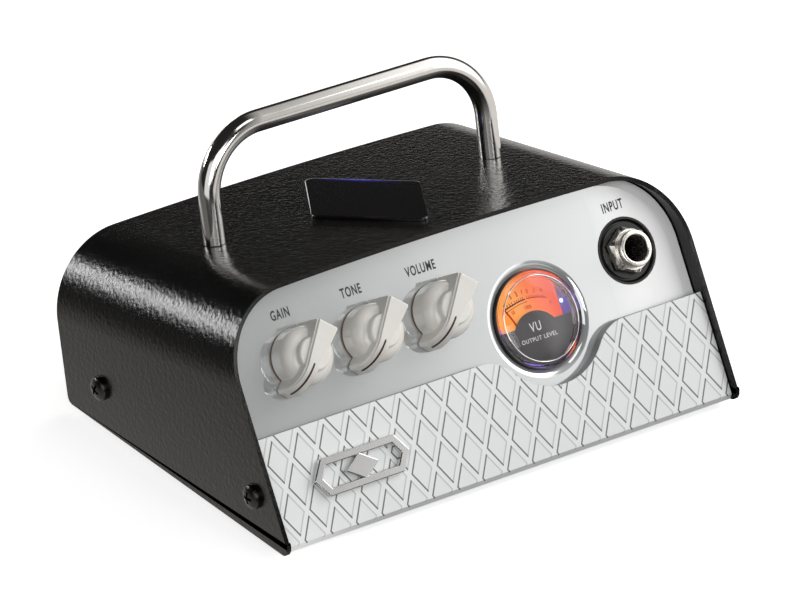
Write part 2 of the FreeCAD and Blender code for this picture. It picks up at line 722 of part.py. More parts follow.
REAR_X = {"dc": -50.0, "power": -32.0, "eco": -15.0, "impedance": 0.0, "eq": 15.0, "phones": 30.0,
          "speaker": 48.0}
SLIDE_NAMES = ("eco", "impedance", "eq")
SLIDE_TRAVEL = {"eco": 2.5, "impedance": 3.0, "eq": 2.5}
REAR_SCREW_X = (-44.0, 0.0, 44.0)
REAR_SCREW_UP = 23.0
BOARD_FIXINGS = [(-44.0, 30.0), (44.0, 30.0), (-44.0, 74.0), (44.0, 74.0)]


def rear_panel():
    face = REAR_FACE
    thick = size("rear_thick")
    plate = Part.makeBox(200, thick, 200, Vector(-100, face - thick, 0))
    plate.Placement = TILT * plate.Placement
    plate = plate.common(cover_volume(size("sheet_thick") + size("fit_gap")))
    plate = plate.common(Part.makeBox(200, 200, 100, Vector(-100, 0, size("tray_lift"))))
    plate = as_local(plate, TILT)
    up = size("rear_row")
    round_holes = [(REAR_X["speaker"], up, size("barrel_radius") + 0.1), (REAR_X["phones"], up, 3.1),
                   (REAR_X["dc"], up, 4.1)]
    round_holes += [(x, REAR_SCREW_UP, size("screw_radius") + 0.1) for x in REAR_SCREW_X]
    for x, z, radius in round_holes:
        plate = plate.cut(round_tool(radius, Vector(x, face - 5, z), Vector(0, 1, 0), 10))
    windows = [(REAR_X["power"], 10.4, 14.4)]
    windows += [(REAR_X[name], 2.4 + SLIDE_TRAVEL[name] + 0.6, 3.0) for name in SLIDE_NAMES]
    for x, wide, high in windows:
        plate = plate.cut(Part.makeBox(wide, 10, high, Vector(x - wide / 2, face - 5, up - high / 2)))
    finish(shaped("RearPanel", plate), "rear_panel", in_tilt())


def socket(name, label, bore, barrel, proud, case_side, case_deep):
    """A round socket whose barrel goes out through the rear panel."""
    case = box(name + "Case", case_side, case_side, case_deep,
               (-case_side / 2, -case_side / 2, f"-rear_thick - {case_deep} - 0.05"))
    neck = rod(name + "Neck", barrel, f"rear_thick + {proud} + 0.1", (0, 0, "-rear_thick - 0.1"))
    hole = rod(name + "Hole", bore, f"{case_deep} + {proud}", (0, 0, f"-rear_thick - {case_deep} + 1.5"))
    finish(cut(name, fused(name + "Blank", [case, neck]), [hole]), label,
           on_rear(REAR_X[label.split("_")[0]], size("rear_row")))


def rear_sockets():
    socket("SpeakerJack", "speaker_jack", "jack_bore", "barrel_radius", 3.6, 14, 22)
    socket("PhonesJack", "phones_jack", "phones_bore", "3.0", 2.6, 9, 13)
    nuts = []
    for name, hole, corner in (("speaker", "barrel_radius + 0.02", "6.6"), ("phones", "3.02", "4.6")):
        nut = padded("Nut" + name.title(), hexagon(corner), 2.0, [(0, 0, hole)])
        nut.Placement = Placement(Vector(REAR_X["speaker"] - REAR_X[name], 0, 0.05), Rotation())
        nuts.append(nut)
    finish(grouped("RearNuts", nuts), "rear_nuts", on_rear(REAR_X["speaker"], size("rear_row")))
    case = box("DcCase", 9, 10.5, 12, (-4.5, -5.25, -13.05))
    neck = rod("DcNeck", 4.0, 1.6, (0, 0, -1.1))
    hollow = rod("DcHollow", "dc_bore", 11, (0, 0, -10.4))
    finish(cut("DcInlet", fused("DcBlank", [case, neck]), [hollow]), "dc_inlet",
           on_rear(REAR_X["dc"], size("rear_row")))
    pin = turned("DcPin", [(0, -10.4), (1.0, -10.4), (1.0, -0.8), (0.6, -0.3), (0, -0.3)])
    finish(pin, "dc_pin", on_rear(REAR_X["dc"], size("rear_row")))


def power_switch():
    """A rocker in a frame. The rocker turns on a level pin just behind the panel."""
    place = on_rear(REAR_X["power"], size("rear_row"))
    flange = box("RockerFlange", 12.4, 16.4, 0.9, (-6.2, -8.2, 0.05))
    case = box("RockerCase", 10, 14, 11, (-5, -7, -10.9))
    room = box("RockerRoom", 8.4, 12.4, 12, (-4.2, -6.2, -8.5))
    pin = rod("RockerPin", 1.0, 9, (-4.5, 0, -2), Rotation(Vector(0, 1, 0), 90))
    frame = cut("RockerFrame", fused("RockerBlank", [flange, case]), [room])
    finish(fused("PowerSwitch", [frame, pin]), "power_switch", place)
    side = [(-5.3, 0.0), (-5.3, 3.2), (0, 2.2), (5.3, 3.2), (5.3, 0.0), (2.4, -3.2), (-2.4, -3.2)]
    body = padded("RockerSide", side, 7.8, [(0, 0, 1.05)], role="YZ_Plane", centred=True)
    tilt = Placement(Vector(0, 0, -2), Rotation(X_AXIS, 9))
    finish(body, "power_rocker", place * tilt)


def slide_switches():
    cases = []
    for name in SLIDE_NAMES:
        travel = SLIDE_TRAVEL[name]
        title = name.title()
        case = box(title + "SlideCase", 12, 6.4, 5, (-6, -3.2, "-rear_thick - 5.05"))
        slot = box(title + "SlideSlot", 2.4 + travel + 0.6, 3, 4, (-(3.0 + travel) / 2, -1.5, -4.5))
        switch = cut(title + "Slide", case, [slot])
        switch.Placement = Placement(Vector(-REAR_X[name], 0, 0), Rotation())
        cases.append(switch)
        lever = box(title + "Lever", 2.4, 2.4, 5.6, (-1.2 - travel / 2, -1.2, -4.2))
        finish(placed(lever, on_rear(REAR_X[name], size("rear_row"))), name + "_slider")
    finish(grouped("SlideSwitches", cases), "slide_switches", on_rear(0, size("rear_row")))


# ---------------------------------------------------------------- chassis, feet and screws

def foot_places():
    return [(side * size("foot_x"), y) for side in SIDES for y in (17.0, 81.0)]


def pan_screw(name, head, tall, long):
    """A pan-head screw along +Z: the head stands above z = 0, the shank goes below."""
    return turned(name, [(0, -long), ("screw_radius", -long), ("screw_radius", 0), (head, 0),
                         (head, f"{tall} * 0.45"), (f"{head} * 0.8", f"{tall} * 0.8"),
                         (f"{head} * 0.5", tall), (0, tall)])


def base_tray():
    """The bent tray that closes the bottom, with side flanges for the cover screws."""
    low = size("tray_lift")
    thick = size("tray_thick")
    floor = box("TrayFloor", "cover_width - 2 * sheet_thick - 0.4", 83.3, "tray_thick",
                ("-cover_width / 2 + sheet_thick + 0.2", 6.5, "tray_lift"))
    side_view = [(8.4, "tray_lift"), (87, "tray_lift"), (87, 17), (17.8, 17)]
    flanges = []
    for side in SIDES:
        flange = padded(f"TrayFlange{side + 1}", side_view, "tray_thick", role="YZ_Plane")
        face = HALF_WIDTH - size("sheet_thick") - 0.2
        flange.Placement = Placement(Vector(face - thick if side > 0 else -face, 0, 0), Rotation())
        flanges.append(flange)
    back = REAR_FACE - size("rear_thick")
    lip = placed(box("TrayLip", 116, 1.0, 9, (-58, back - 1.05, 18.2)), TILT)
    holes = [rod(f"FootHole{k}", "screw_radius + 0.1", 6, (x, y, low - 2))
             for k, (x, y) in enumerate(foot_places())]
    holes += [rod(f"FlangeHole{k}", "screw_radius", 6, (side * HALF_WIDTH - 3, y, "screw_height"),
                  Rotation(Vector(0, 1, 0), 90))
              for k, (side, y) in enumerate((s, y) for s in SIDES for y in ("screw_front", "screw_rear"))]
    holes += [box(f"Vent{k}", 2.4, 26, 4, (-25 + 7 * k, 36, low - 1)) for k in range(8)]
    holes += [placed(rod(f"LipHole{k}", "screw_radius", 6, (x, back - 4, REAR_SCREW_UP),
                         Rotation(X_AXIS, -90)), TILT)
              for k, x in enumerate(REAR_SCREW_X)]
    finish(cut("BaseTray", fused("TrayBlank", [floor, lip] + flanges), holes), "base_tray", in_level())


def side_places():
    return [(side, y) for side in SIDES for y in (size("screw_front"), size("screw_rear"))]


def rubber_feet():
    feet = []
    for k, (x, y) in enumerate(foot_places()):
        foot = turned(f"Foot{k}", [
            (1.7, 0.4), (3.1, 0.4), (3.1, "-foot_drop"), (5.2, "-foot_drop"), (6.0, "-foot_drop + 0.8"),
            (6.0, "tray_lift - 0.05"), (1.7, "tray_lift - 0.05")])
        foot.Placement = Placement(Vector(x, y, 0), Rotation())
        feet.append(foot)
    finish(grouped("RubberFeet", feet), "rubber_feet", in_level())


def side_screws():
    screws = []
    for k, (side, y) in enumerate(side_places()):
        screw = pan_screw(f"SideScrew{k}", 3.0, 2.0, 4.6)
        screw.Placement = Placement(Vector(side * (HALF_WIDTH + 0.02), y, size("screw_height")),
                                    Rotation(Vector(0, 1, 0), 90 * side))
        screws.append(screw)
    finish(grouped("SideScrews", screws), "side_screws", in_level())


def chassis_screws():
    """The same small pan screw in the feet, the main board and the rear panel."""
    board_top = size("board_level") + size("board_thick") + 0.02
    spots = [Placement(Vector(x, y, 0.38), Rotation(X_AXIS, 180)) for x, y in foot_places()]
    spots += [Placement(Vector(x, y, board_top), Rotation()) for x, y in BOARD_FIXINGS]
    spots += [TILT * Placement(Vector(x, REAR_FACE + 0.02, REAR_SCREW_UP), FACING_BACK) for x in REAR_SCREW_X]
    screws = []
    for k, spot in enumerate(spots):
        screw = pan_screw(f"ChassisScrew{k}", 2.8, 1.6, 3.8)
        screw.Placement = spot
        screws.append(screw)
    finish(grouped("ChassisScrews", screws), "chassis_screws", in_level())


# ---------------------------------------------------------------- boards and what stands on them

def boards():
    plate = padded("MainBoard", rectangle(-57, 25, 57, 80), "board_thick",
                   [(x, y, 1.6) for x, y in BOARD_FIXINGS])
    finish(plate, "main_board", in_level(z=size("board_level")))
    floor = size("tray_lift") + size("tray_thick") + 0.02
    rise = size("board_level") - floor - 0.02
    standoffs = []
    for k, (x, y) in enumerate(BOARD_FIXINGS):
        post = turned(f"Standoff{k}", [(0, 0), (2.6, 0), (2.6, rise), ("screw_radius", rise),
                                       ("screw_radius", 1.0), (0, 1.0)])
        post.Placement = Placement(Vector(x, y, floor), Rotation())
        standoffs.append(post)
    finish(grouped("Standoffs", standoffs), "standoffs", in_level())
    finish(placed(box("FrontPlate", 62, 20, 1.6), on_panel(-57, 33, -15.6)), "front_board")


def board_parts():
    top = size("board_level") + size("board_thick") + 0.02
    base = box("SinkBase", 34, 24, 3, (-38, 50, 0))
    fins = [box(f"SinkFin{k}", 1.2, 24, 14, (-38 + 4.1 * k, 50, 2)) for k in range(9)]
    finish(fused("HeatSink", [base] + fins), "heat_sink", in_level(z=top))
    cans = []
    for k, (x, y) in enumerate([(6.0, 57.0), (18.0, 57.0), (6.0, 70.0)]):
        can = turned(f"Can{k}", [(0, 0), (4.8, 0), (5.0, 0.4), (5.0, 15.4), (4.6, 16.0), (0, 16.0)])
        can.Placement = Placement(Vector(x, y, 0), Rotation())
        cans.append(can)
    finish(grouped("FilterCapacitors", cans), "filter_capacitors", in_level(z=top))
    coils = []
    for k, x in enumerate((6.0, 24.0)):
        coil = doc.addObject("Part::Torus", f"Coil{k}")
        coil.Radius1 = 5.2
        coil.Radius2 = 2.4
        coil.Placement = Placement(Vector(x, 38, 2.4), Rotation())
        coils.append(coil)
    finish(grouped("OutputInductors", coils), "output_inductors", in_level(z=top))


def check_and_export():
    doc.recompute()
    for piece in doc.Objects:
        if "Invalid" in piece.State or "Error" in piece.State:
            raise RuntimeError(f"{piece.Name} did not build: {piece.State}")
    for piece in finished:
        shape = piece.Shape
        if shape.isNull() or not shape.isValid() or shape.Volume <= 0:
            raise RuntimeError(f"{piece.Label} has a bad shape")
        shape.exportStep(f"parts/{piece.Label}.step")
    print(len(finished), "sub-parts written")


top_cover()
carry_handle()
handle_fixings()
tube_window()
tube_group()
upper_front_panel()
lower_front_panel()
front_bracket()
front_emblem()
for index, name in enumerate(KNOB_NAMES):
    control(index, name)
pot_fixings()
level_meter()
input_socket()
rear_panel()
rear_sockets()
power_switch()
slide_switches()
base_tray()
rubber_feet()
side_screws()
chassis_screws()
boards()
board_parts()
check_and_export()
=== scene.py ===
import json
import math

import bmesh
import bpy
from mathutils import Matrix, Vector


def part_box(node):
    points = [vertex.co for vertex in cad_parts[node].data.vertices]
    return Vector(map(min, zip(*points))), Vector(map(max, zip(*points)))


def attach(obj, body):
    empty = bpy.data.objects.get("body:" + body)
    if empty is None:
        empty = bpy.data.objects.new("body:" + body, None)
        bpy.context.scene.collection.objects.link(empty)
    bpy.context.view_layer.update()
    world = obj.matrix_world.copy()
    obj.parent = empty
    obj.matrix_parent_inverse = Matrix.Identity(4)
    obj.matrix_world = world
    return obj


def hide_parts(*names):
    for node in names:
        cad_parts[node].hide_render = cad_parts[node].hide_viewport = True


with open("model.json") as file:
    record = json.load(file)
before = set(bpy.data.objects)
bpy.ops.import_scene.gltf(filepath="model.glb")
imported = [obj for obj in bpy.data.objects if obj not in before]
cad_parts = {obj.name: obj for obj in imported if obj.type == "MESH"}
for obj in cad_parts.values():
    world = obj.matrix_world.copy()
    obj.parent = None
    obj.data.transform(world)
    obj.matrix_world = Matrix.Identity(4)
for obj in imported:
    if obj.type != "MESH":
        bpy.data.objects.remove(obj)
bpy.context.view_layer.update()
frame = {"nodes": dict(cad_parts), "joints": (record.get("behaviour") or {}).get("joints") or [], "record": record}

# ---------------------------------------------------------------- frames
# Lengths below are in millimetres in a working frame; MM turns them into the row's metres.

MM = 0.001
JOINTS = {joint["name"]: joint for joint in frame["joints"]}
MOUNTS = {mount["name"]: mount for mount in frame["record"]["mounts"]}

KNOBS = ("gain", "tone", "volume")
KNOB_V = 43.5
KNOB_AXIS_RISE = 3.0
GREY_RECESS = 4.5
WHITE_RISE = 3.0

ACROSS = Vector((1, 0, 0))
OUTWARD = -Vector(JOINTS["gain_turn"]["axis"])
UPSLOPE = OUTWARD.cross(ACROSS)
BACKWARD = Vector(MOUNTS["speaker_bore"]["axis"])
TILT_UP = ACROSS.cross(BACKWARD)
LEAN = math.atan2(UPSLOPE.y, UPSLOPE.z)
FALL = math.atan2(TILT_UP.y, TILT_UP.z)


def axes(x, y, z, origin):
    """The matrix of a frame with these axes; it also turns its millimetres into metres."""
    turn = Matrix((x, y, z)).transposed().to_4x4()
    return Matrix.Translation(origin) @ turn @ Matrix.Scale(MM, 4)


KNOB_U = JOINTS["gain_turn"]["pos_m"][0] / MM
PANEL_ORIGIN = Vector(JOINTS["gain_turn"]["pos_m"]) - MM * (
    KNOB_U * ACROSS + KNOB_V * UPSLOPE + KNOB_AXIS_RISE * OUTWARD)
LEVEL_ORIGIN = PANEL_ORIGIN + MM * GREY_RECESS * OUTWARD
PANEL = axes(ACROSS, UPSLOPE, OUTWARD, PANEL_ORIGIN)
TILT = axes(ACROSS, BACKWARD, TILT_UP, LEVEL_ORIGIN)
LEVEL = axes(ACROSS, Vector((0, 1, 0)), Vector((0, 0, 1)), LEVEL_ORIGIN)
REAR_UP = 37.0
REAR_Y = (TILT.inverted() @ Vector(MOUNTS["power_inlet"]["pos_m"])).y - 0.4
REAR = TILT @ Matrix.Translation((0, REAR_Y, REAR_UP)) @ Matrix(
    ((-1, 0, 0, 0), (0, 0, 1, 0), (0, 1, 0, 0), (0, 0, 0, 1)))


def at(place, x=0, y=0, z=0, spin=0):
    return place @ Matrix.Translation((x, y, z)) @ Matrix.Rotation(math.radians(spin), 4, "Z")


# ---------------------------------------------------------------- mesh helpers

def piece(name, mesh, place, body="amp_body", material=None, replaces=()):
    """A mesh in a working frame becomes an object in the row frame that rides on a body."""
    mesh.transform(place)
    mesh.name = name
    made = bpy.data.objects.new(name, mesh)
    bpy.context.collection.objects.link(made)
    if material:
        mesh.materials.append(material)
    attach(made, body)
    if replaces:
        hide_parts(*replaces)
    return made


def mesh_of(points, faces):
    mesh = bpy.data.meshes.new("mesh")
    mesh.from_pydata(points, [], faces)
    tidy = bmesh.new()
    tidy.from_mesh(mesh)
    bmesh.ops.recalc_face_normals(tidy, faces=tidy.faces)
    tidy.to_mesh(mesh)
    tidy.free()
    return mesh


def merged(meshes):
    """One mesh from several."""
    pool = bmesh.new()
    for mesh in meshes:
        pool.from_mesh(mesh)
    whole = bpy.data.meshes.new("merged")
    pool.to_mesh(whole)
    pool.free()
    return whole


def moved(mesh, x=0, y=0, z=0, spin=0):
    mesh.transform(Matrix.Translation((x, y, z)) @ Matrix.Rotation(math.radians(spin), 4, "Z"))
    return mesh


def circle(radius, height, steps):
    return [(radius * math.cos(math.tau * k / steps), radius * math.sin(math.tau * k / steps), height)
            for k in range(steps)]


def lathe(profile, steps=96):
    """A closed (radius, height) outline turned round Z. Points on the axis are shared."""
    points = []
    rings = []
    for radius, height in profile:
        if radius < 1e-6:
            rings.append([len(points)] * steps)
            points.append((0, 0, height))
        else:
            rings.append(list(range(len(points), len(points) + steps)))
            points += circle(radius, height, steps)
    faces = []
    for ring, following in zip(rings, rings[1:] + rings[:1]):
        for k in range(steps):
            corners = [ring[k], ring[(k + 1) % steps], following[(k + 1) % steps], following[k]]
            unique = list(dict.fromkeys(corners))
            if len(unique) > 2:
                faces.append(unique)
    return mesh_of(points, faces)


def prism(outline, low, high):
    """A polygon drawn in the XY plane and pulled up from low to high."""
    count = len(outline)
    points = [(x, y, low) for x, y in outline] + [(x, y, high) for x, y in outline]
    faces = [list(range(count)), list(range(count, 2 * count))]
    faces += [[k, (k + 1) % count, count + (k + 1) % count, count + k] for k in range(count)]
    return mesh_of(points, faces)


def loft(sections):
    """A skin over closed sections with equal numbers of points, capped at both ends."""
    count = len(sections[0])
    points = [point for section in sections for point in section]
    faces = [list(range(count)), list(range(len(points) - count, len(points)))]
    for row in range(len(sections) - 1):
        start = row * count
        for k in range(count):
            after = (k + 1) % count
            faces.append([start + k, start + after, start + count + after, start + count + k])
    return mesh_of(points, faces)


def arc(centre, radius, start, end, steps):
    """Points on a circle from one angle to another, in degrees."""
    return [(centre[0] + radius * math.cos(math.radians(start + (end - start) * k / steps)),
             centre[1] + radius * math.sin(math.radians(start + (end - start) * k / steps)))
            for k in range(steps + 1)]


def rounded(outline, radius, steps=8):
    """A polygon with its corners rounded."""
    result = []
    count = len(outline)
    for k in range(count):
        corner = Vector(outline[k])
        before = (Vector(outline[k - 1]) - corner).normalized()
        after = (Vector(outline[(k + 1) % count]) - corner).normalized()
        half = before.angle(after) / 2
        centre = corner + (before + after).normalized() * (radius / math.sin(half))
        first = corner + before * (radius / math.tan(half)) - centre
        last = corner + after * (radius / math.tan(half)) - centre
        turn = first.angle_signed(last)
        for step in range(steps + 1):
            offset = Matrix.Rotation(-turn * step / steps, 2) @ first
            result.append(tuple(centre + offset))
    return result


def smooth(made, degrees=35):
    """Rounded shading across every edge flatter than the given angle."""
    mesh = made.data
    mesh.shade_smooth()
    mesh.set_sharp_from_angle(angle=math.radians(degrees))
    return made


def bevel(made, width, steps=3, degrees=30):
    edge = made.modifiers.new("edge", "BEVEL")
    edge.width = width * MM
    edge.segments = steps
    edge.limit_method = "ANGLE"
    edge.angle_limit = math.radians(degrees)
    edge.harden_normals = True
    return smooth(made, degrees)


def apply_modifiers(made):
    """Bakes an object's modifiers into its mesh."""
    graph = bpy.context.evaluated_depsgraph_get()
    baked = bpy.data.meshes.new_from_object(made.evaluated_get(graph))
    made.modifiers.clear()
    made.data = baked


def melted(mesh, voxel, rounds):
    """The union of overlapping closed shells, with every edge softened."""
    shell = bpy.data.objects.new("shell", mesh)
    bpy.context.collection.objects.link(shell)
    remesh = shell.modifiers.new("union", "REMESH")
    remesh.mode = "VOXEL"
    remesh.voxel_size = voxel
    soften = shell.modifiers.new("soften", "SMOOTH")
    soften.factor = 0.5
    soften.iterations = rounds
    apply_modifiers(shell)
    result = shell.data
    bpy.data.objects.remove(shell)
    return result


# ---------------------------------------------------------------- materials

class Shader:
    """A Principled material with a few short ways to add procedural detail to it."""

    def __init__(self, name, **sockets):
        self.material = bpy.data.materials.new(name)
        self.material.use_nodes = True
        self.tree = self.material.node_tree
        self.surface = self.tree.nodes["Principled BSDF"]
        for label, value in sockets.items():
            self.surface.inputs[label.replace("_", " ")].default_value = value
        self.heights = []

    def node(self, kind, settings=(), **sockets):
        made = self.tree.nodes.new(kind)
        for key, value in dict(settings).items():
            setattr(made, key, value)
        for label, value in sockets.items():
            self.feed(made.inputs[label.replace("_", " ")], value)
        return made

    def feed(self, socket, value):
        if isinstance(value, bpy.types.NodeSocket):
            self.tree.links.new(value, socket)
        else:
            socket.default_value = value

    def place(self, frame_matrix):
        """The position in millimetres in a working frame."""
        spot = self.node("ShaderNodeTexCoord").outputs["Object"]
        inverse = frame_matrix.inverted()
        turn = inverse.to_euler()
        scale = 1 / MM
        mapping = self.node("ShaderNodeMapping", Vector=spot, Location=inverse.translation,
                            Rotation=turn, Scale=(scale, scale, scale))
        return mapping.outputs["Vector"]

    def noise(self, where, scale, detail=3.0, roughness=0.5, distortion=0.0):
        made = self.node("ShaderNodeTexNoise", Vector=where, Scale=scale, Detail=detail,
                         Roughness=roughness, Distortion=distortion)
        return made.outputs["Fac"]

    def cells(self, where, scale, smoothness=0.6):
        made = self.node("ShaderNodeTexVoronoi", {"feature": "SMOOTH_F1"}, Vector=where, Scale=scale,
                         Smoothness=smoothness)
        return made.outputs["Distance"]

    def math(self, operation, first, second=0.0, third=0.0):
        made = self.tree.nodes.new("ShaderNodeMath")
        made.operation = operation
        for socket, value in zip(made.inputs, (first, second, third)):
            self.feed(socket, value)
        return made.outputs[0]

    def spread(self, value, low, high, to_low=0.0, to_high=1.0):
        """A value's span low..high mapped to another span, and held there."""
        made = self.node("ShaderNodeMapRange", From_Min=low, From_Max=high, To_Min=to_low, To_Max=to_high)
        self.feed(made.inputs["Value"], value)
        return made.outputs["Result"]

    def colours(self, value, *stops):
        """A value turned into colour through (position, colour) stops."""
        made = self.node("ShaderNodeValToRGB")
        ramp = made.color_ramp
        while len(ramp.elements) < len(stops):
            ramp.elements.new(0.5)
        for element, (position, colour) in zip(ramp.elements, stops):
            element.position = position
            element.color = (*colour, 1.0)
        self.feed(made.inputs["Fac"], value)
        return made.outputs["Color"]

    def mix(self, amount, first, second):
        made = self.node("ShaderNodeMix", {"data_type": "RGBA"})
        colour_inputs = [socket for socket in made.inputs if socket.type == "RGBA"]
        self.feed(made.inputs["Factor"], amount)
        for socket, value in zip(colour_inputs, (first, second)):
            self.feed(socket, value if isinstance(value, bpy.types.NodeSocket) else (*value, 1.0))
        return next(socket for socket in made.outputs if socket.type == "RGBA")

    def bump(self, height, strength, distance):
        made = self.node("ShaderNodeBump", Height=height, Strength=strength, Distance=distance * MM)
        if self.heights:
            self.tree.links.new(self.heights[-1], made.inputs["Normal"])
        self.heights.append(made.outputs["Normal"])
        self.tree.links.new(made.outputs["Normal"], self.surface.inputs["Normal"])

    def set(self, **sockets):
        for label, value in sockets.items():
            self.feed(self.surface.inputs[label.replace("_", " ")], value)
        return self


def cover_coat():
    """Black wrinkle powder coat: soft cells about a millimetre across under a gloss."""
    shade = Shader("cover_coat", Specular_IOR_Level=0.36, IOR=1.5)
    where = shade.place(LEVEL)
    cells = shade.cells(where, 0.85, 0.9)
    fine = shade.noise(where, 1.5, 3, 0.55, 0.6)
    height = shade.math("ADD", cells, shade.math("MULTIPLY", fine, 0.9))
    patches = shade.noise(where, 0.05, 2)
    shade.set(Base_Color=shade.colours(patches, (0.35, (0.004, 0.0037, 0.0034)),
                                       (0.7, (0.007, 0.0065, 0.006))),
              Roughness=shade.spread(fine, 0.3, 0.7, 0.15, 0.23))
    shade.bump(height, 0.35, 0.16)
    return shade.material


def grey_gloss():
    """Silver-grey gloss lacquer that mirrors the knobs, with painted light towards its right edge: the colour
    turns paler and less metallic there, so the edge looks brightly lit and shows neither the shadow nor the mirror
    image of the cover's wall.
    """
    shade = Shader("grey_gloss", IOR=1.5)
    where = shade.place(PANEL)
    # Painted light: this mask pales the colour and lowers the metal towards the right edge.
    edge = shade.spread(shade.node("ShaderNodeSeparateXYZ", Vector=where).outputs["X"], 42.0, 54.0)
    cloud = shade.noise(where, 0.03, 2)
    flake = shade.noise(where, 9.0, 2)
    silver = shade.colours(cloud, (0.3, (0.68, 0.70, 0.71)), (0.7, (0.71, 0.73, 0.74)))
    shade.set(Base_Color=shade.mix(edge, silver, (0.98, 0.98, 0.99)),
              Metallic=shade.spread(edge, 0.0, 1.0, 0.6, 0.0),
              Roughness=shade.spread(flake, 0.35, 0.65, 0.03, 0.05))
    shade.bump(shade.noise(where, 0.35, 2), 0.02, 0.03)
    return shade.material


LATTICE_WIDE = 7.18
LATTICE_TALL = 12.57
LATTICE_AT = (-56.62, 22.30)


def lattice_white():
    """White moulded panel: flat lozenges between raised crossing bands, with painted shade: dark lines along the
    lozenges' left edges, grey lines along their right edges, and a darkened wall in the dip.
    """
    shade = Shader("lattice_white", Metallic=0.0, Specular_IOR_Level=0.5, IOR=1.5)
    where = shade.place(PANEL)
    parts = shade.node("ShaderNodeSeparateXYZ", Vector=where)
    u = shade.math("DIVIDE", shade.math("SUBTRACT", parts.outputs["X"], LATTICE_AT[0]), LATTICE_WIDE)
    v = shade.math("DIVIDE", shade.math("SUBTRACT", parts.outputs["Y"], LATTICE_AT[1]), LATTICE_TALL)
    margin = 0.10
    line = 0.030
    rising = shade.math("FRACT", shade.math("ADD", shade.math("ADD", u, v), margin + 10.0))
    falling = shade.math("FRACT", shade.math("ADD", shade.math("SUBTRACT", u, v), margin + 10.0))

    def near(value, target):
        return shade.math("COMPARE", value, target, line)

    def inside(value):
        return shade.math("MULTIPLY", shade.math("GREATER_THAN", value, 2 * margin - line),
                          shade.math("LESS_THAN", value, 1.0))

    # Painted shade: dark lines along the lozenges' left edges, where their walls lie in shade.
    left = shade.math("MAXIMUM", shade.math("MULTIPLY", near(rising, 2 * margin), inside(falling)),
                      shade.math("MULTIPLY", near(falling, 2 * margin), inside(rising)))
    # Painted shade: grey lines along the lozenges' right edges.
    right = shade.math("MAXIMUM", shade.math("MULTIPLY", near(rising, 1.0 - line), inside(falling)),
                       shade.math("MULTIPLY", near(falling, 1.0 - line), inside(rising)))
    lozenge = shade.math("MULTIPLY", inside(rising), inside(falling))
    sparkle = shade.noise(where, 7.0, 3, 0.7)
    paper = shade.colours(sparkle, (0.3, (0.82, 0.83, 0.84)), (0.7, (0.92, 0.93, 0.94)))
    tinted = shade.mix(shade.math("MULTIPLY", lozenge, 0.25), paper, (0.76, 0.77, 0.78))
    front = shade.math("GREATER_THAN", parts.outputs["Z"], WHITE_RISE - 0.3)
    tinted = shade.mix(shade.math("MULTIPLY", shade.math("MULTIPLY", right, 0.55), front), tinted,
                       (0.42, 0.43, 0.44))
    # Painted shade: the side wall below the front face, above the bottom fold, is darkened.
    wall = shade.math("MULTIPLY", shade.math("SUBTRACT", 1.0, front),
                      shade.math("GREATER_THAN", parts.outputs["Y"], 4.0))
    tinted = shade.mix(shade.math("MULTIPLY", wall, 0.8), tinted, (0.10, 0.10, 0.10))
    shade.set(Base_Color=shade.mix(shade.math("MULTIPLY", shade.math("MULTIPLY", left, 0.9), front), tinted,
                                   (0.075, 0.075, 0.07)),
              Roughness=shade.spread(sparkle, 0.3, 0.7, 0.28, 0.42))
    shade.bump(shade.math("MULTIPLY", lozenge, -1.0), 0.6, 0.25)
    shade.bump(sparkle, 0.12, 0.05)
    return shade.material


def chrome(name="chrome", tint=(0.80, 0.78, 0.75), rough=0.06):
    shade = Shader(name, Metallic=1.0)
    where = shade.place(LEVEL)
    smear = shade.noise(where, 0.22, 4, 0.6, 0.5)
    shade.set(Base_Color=shade.colours(smear, (0.3, tint), (0.75, tuple(0.9 * c for c in tint))),
              Roughness=shade.spread(smear, 0.35, 0.75, rough, rough + 0.05))
    shade.bump(shade.noise(where, 1.4, 3), 0.02, 0.05)
    return shade.material


def plastic(name, colour, rough=0.3, grain=1.5, depth=0.03, waxy=0.0, coat=0.0):
    """Moulded plastic: faint flow marks, fine grain and uneven gloss."""
    shade = Shader(name, Specular_IOR_Level=0.5, IOR=1.48, Coat_Weight=coat, Coat_Roughness=0.08,
                   Subsurface_Weight=waxy, Subsurface_Scale=0.8 * MM)
    where = shade.place(LEVEL)
    cloud = shade.noise(where, 0.12, 3)
    fine = shade.noise(where, grain, 4, 0.6)
    darker = tuple(0.93 * c for c in colour)
    shade.set(Base_Color=shade.colours(cloud, (0.3, darker), (0.7, colour)),
              Roughness=shade.spread(fine, 0.3, 0.7, rough * 0.85, rough * 1.2))
    shade.bump(fine, 0.15, depth)
    return shade.material


def metal(name, colour, rough=0.3, scratch=0.0):
    """Plain plated or machined metal with fine turning marks."""
    shade = Shader(name, Metallic=1.0)
    where = shade.place(LEVEL)
    fine = shade.noise(where, 2.0, 4, 0.6)
    shade.set(Base_Color=shade.colours(fine, (0.3, tuple(0.92 * c for c in colour)), (0.7, colour)),
              Roughness=shade.spread(fine, 0.3, 0.7, rough * 0.9, rough * 1.15))
    shade.bump(shade.noise(where, 6.0, 3), 0.08 + scratch, 0.03)
    return shade.material


def ink(name, colour, rough=0.45):
    shade = Shader(name)
    where = shade.place(LEVEL)
    speck = shade.noise(where, 3.0, 3)
    shade.set(Base_Color=shade.colours(speck, (0.3, colour), (0.7, tuple(1.15 * c for c in colour))),
              Roughness=shade.spread(speck, 0.3, 0.7, rough, rough + 0.15))
    return shade.material


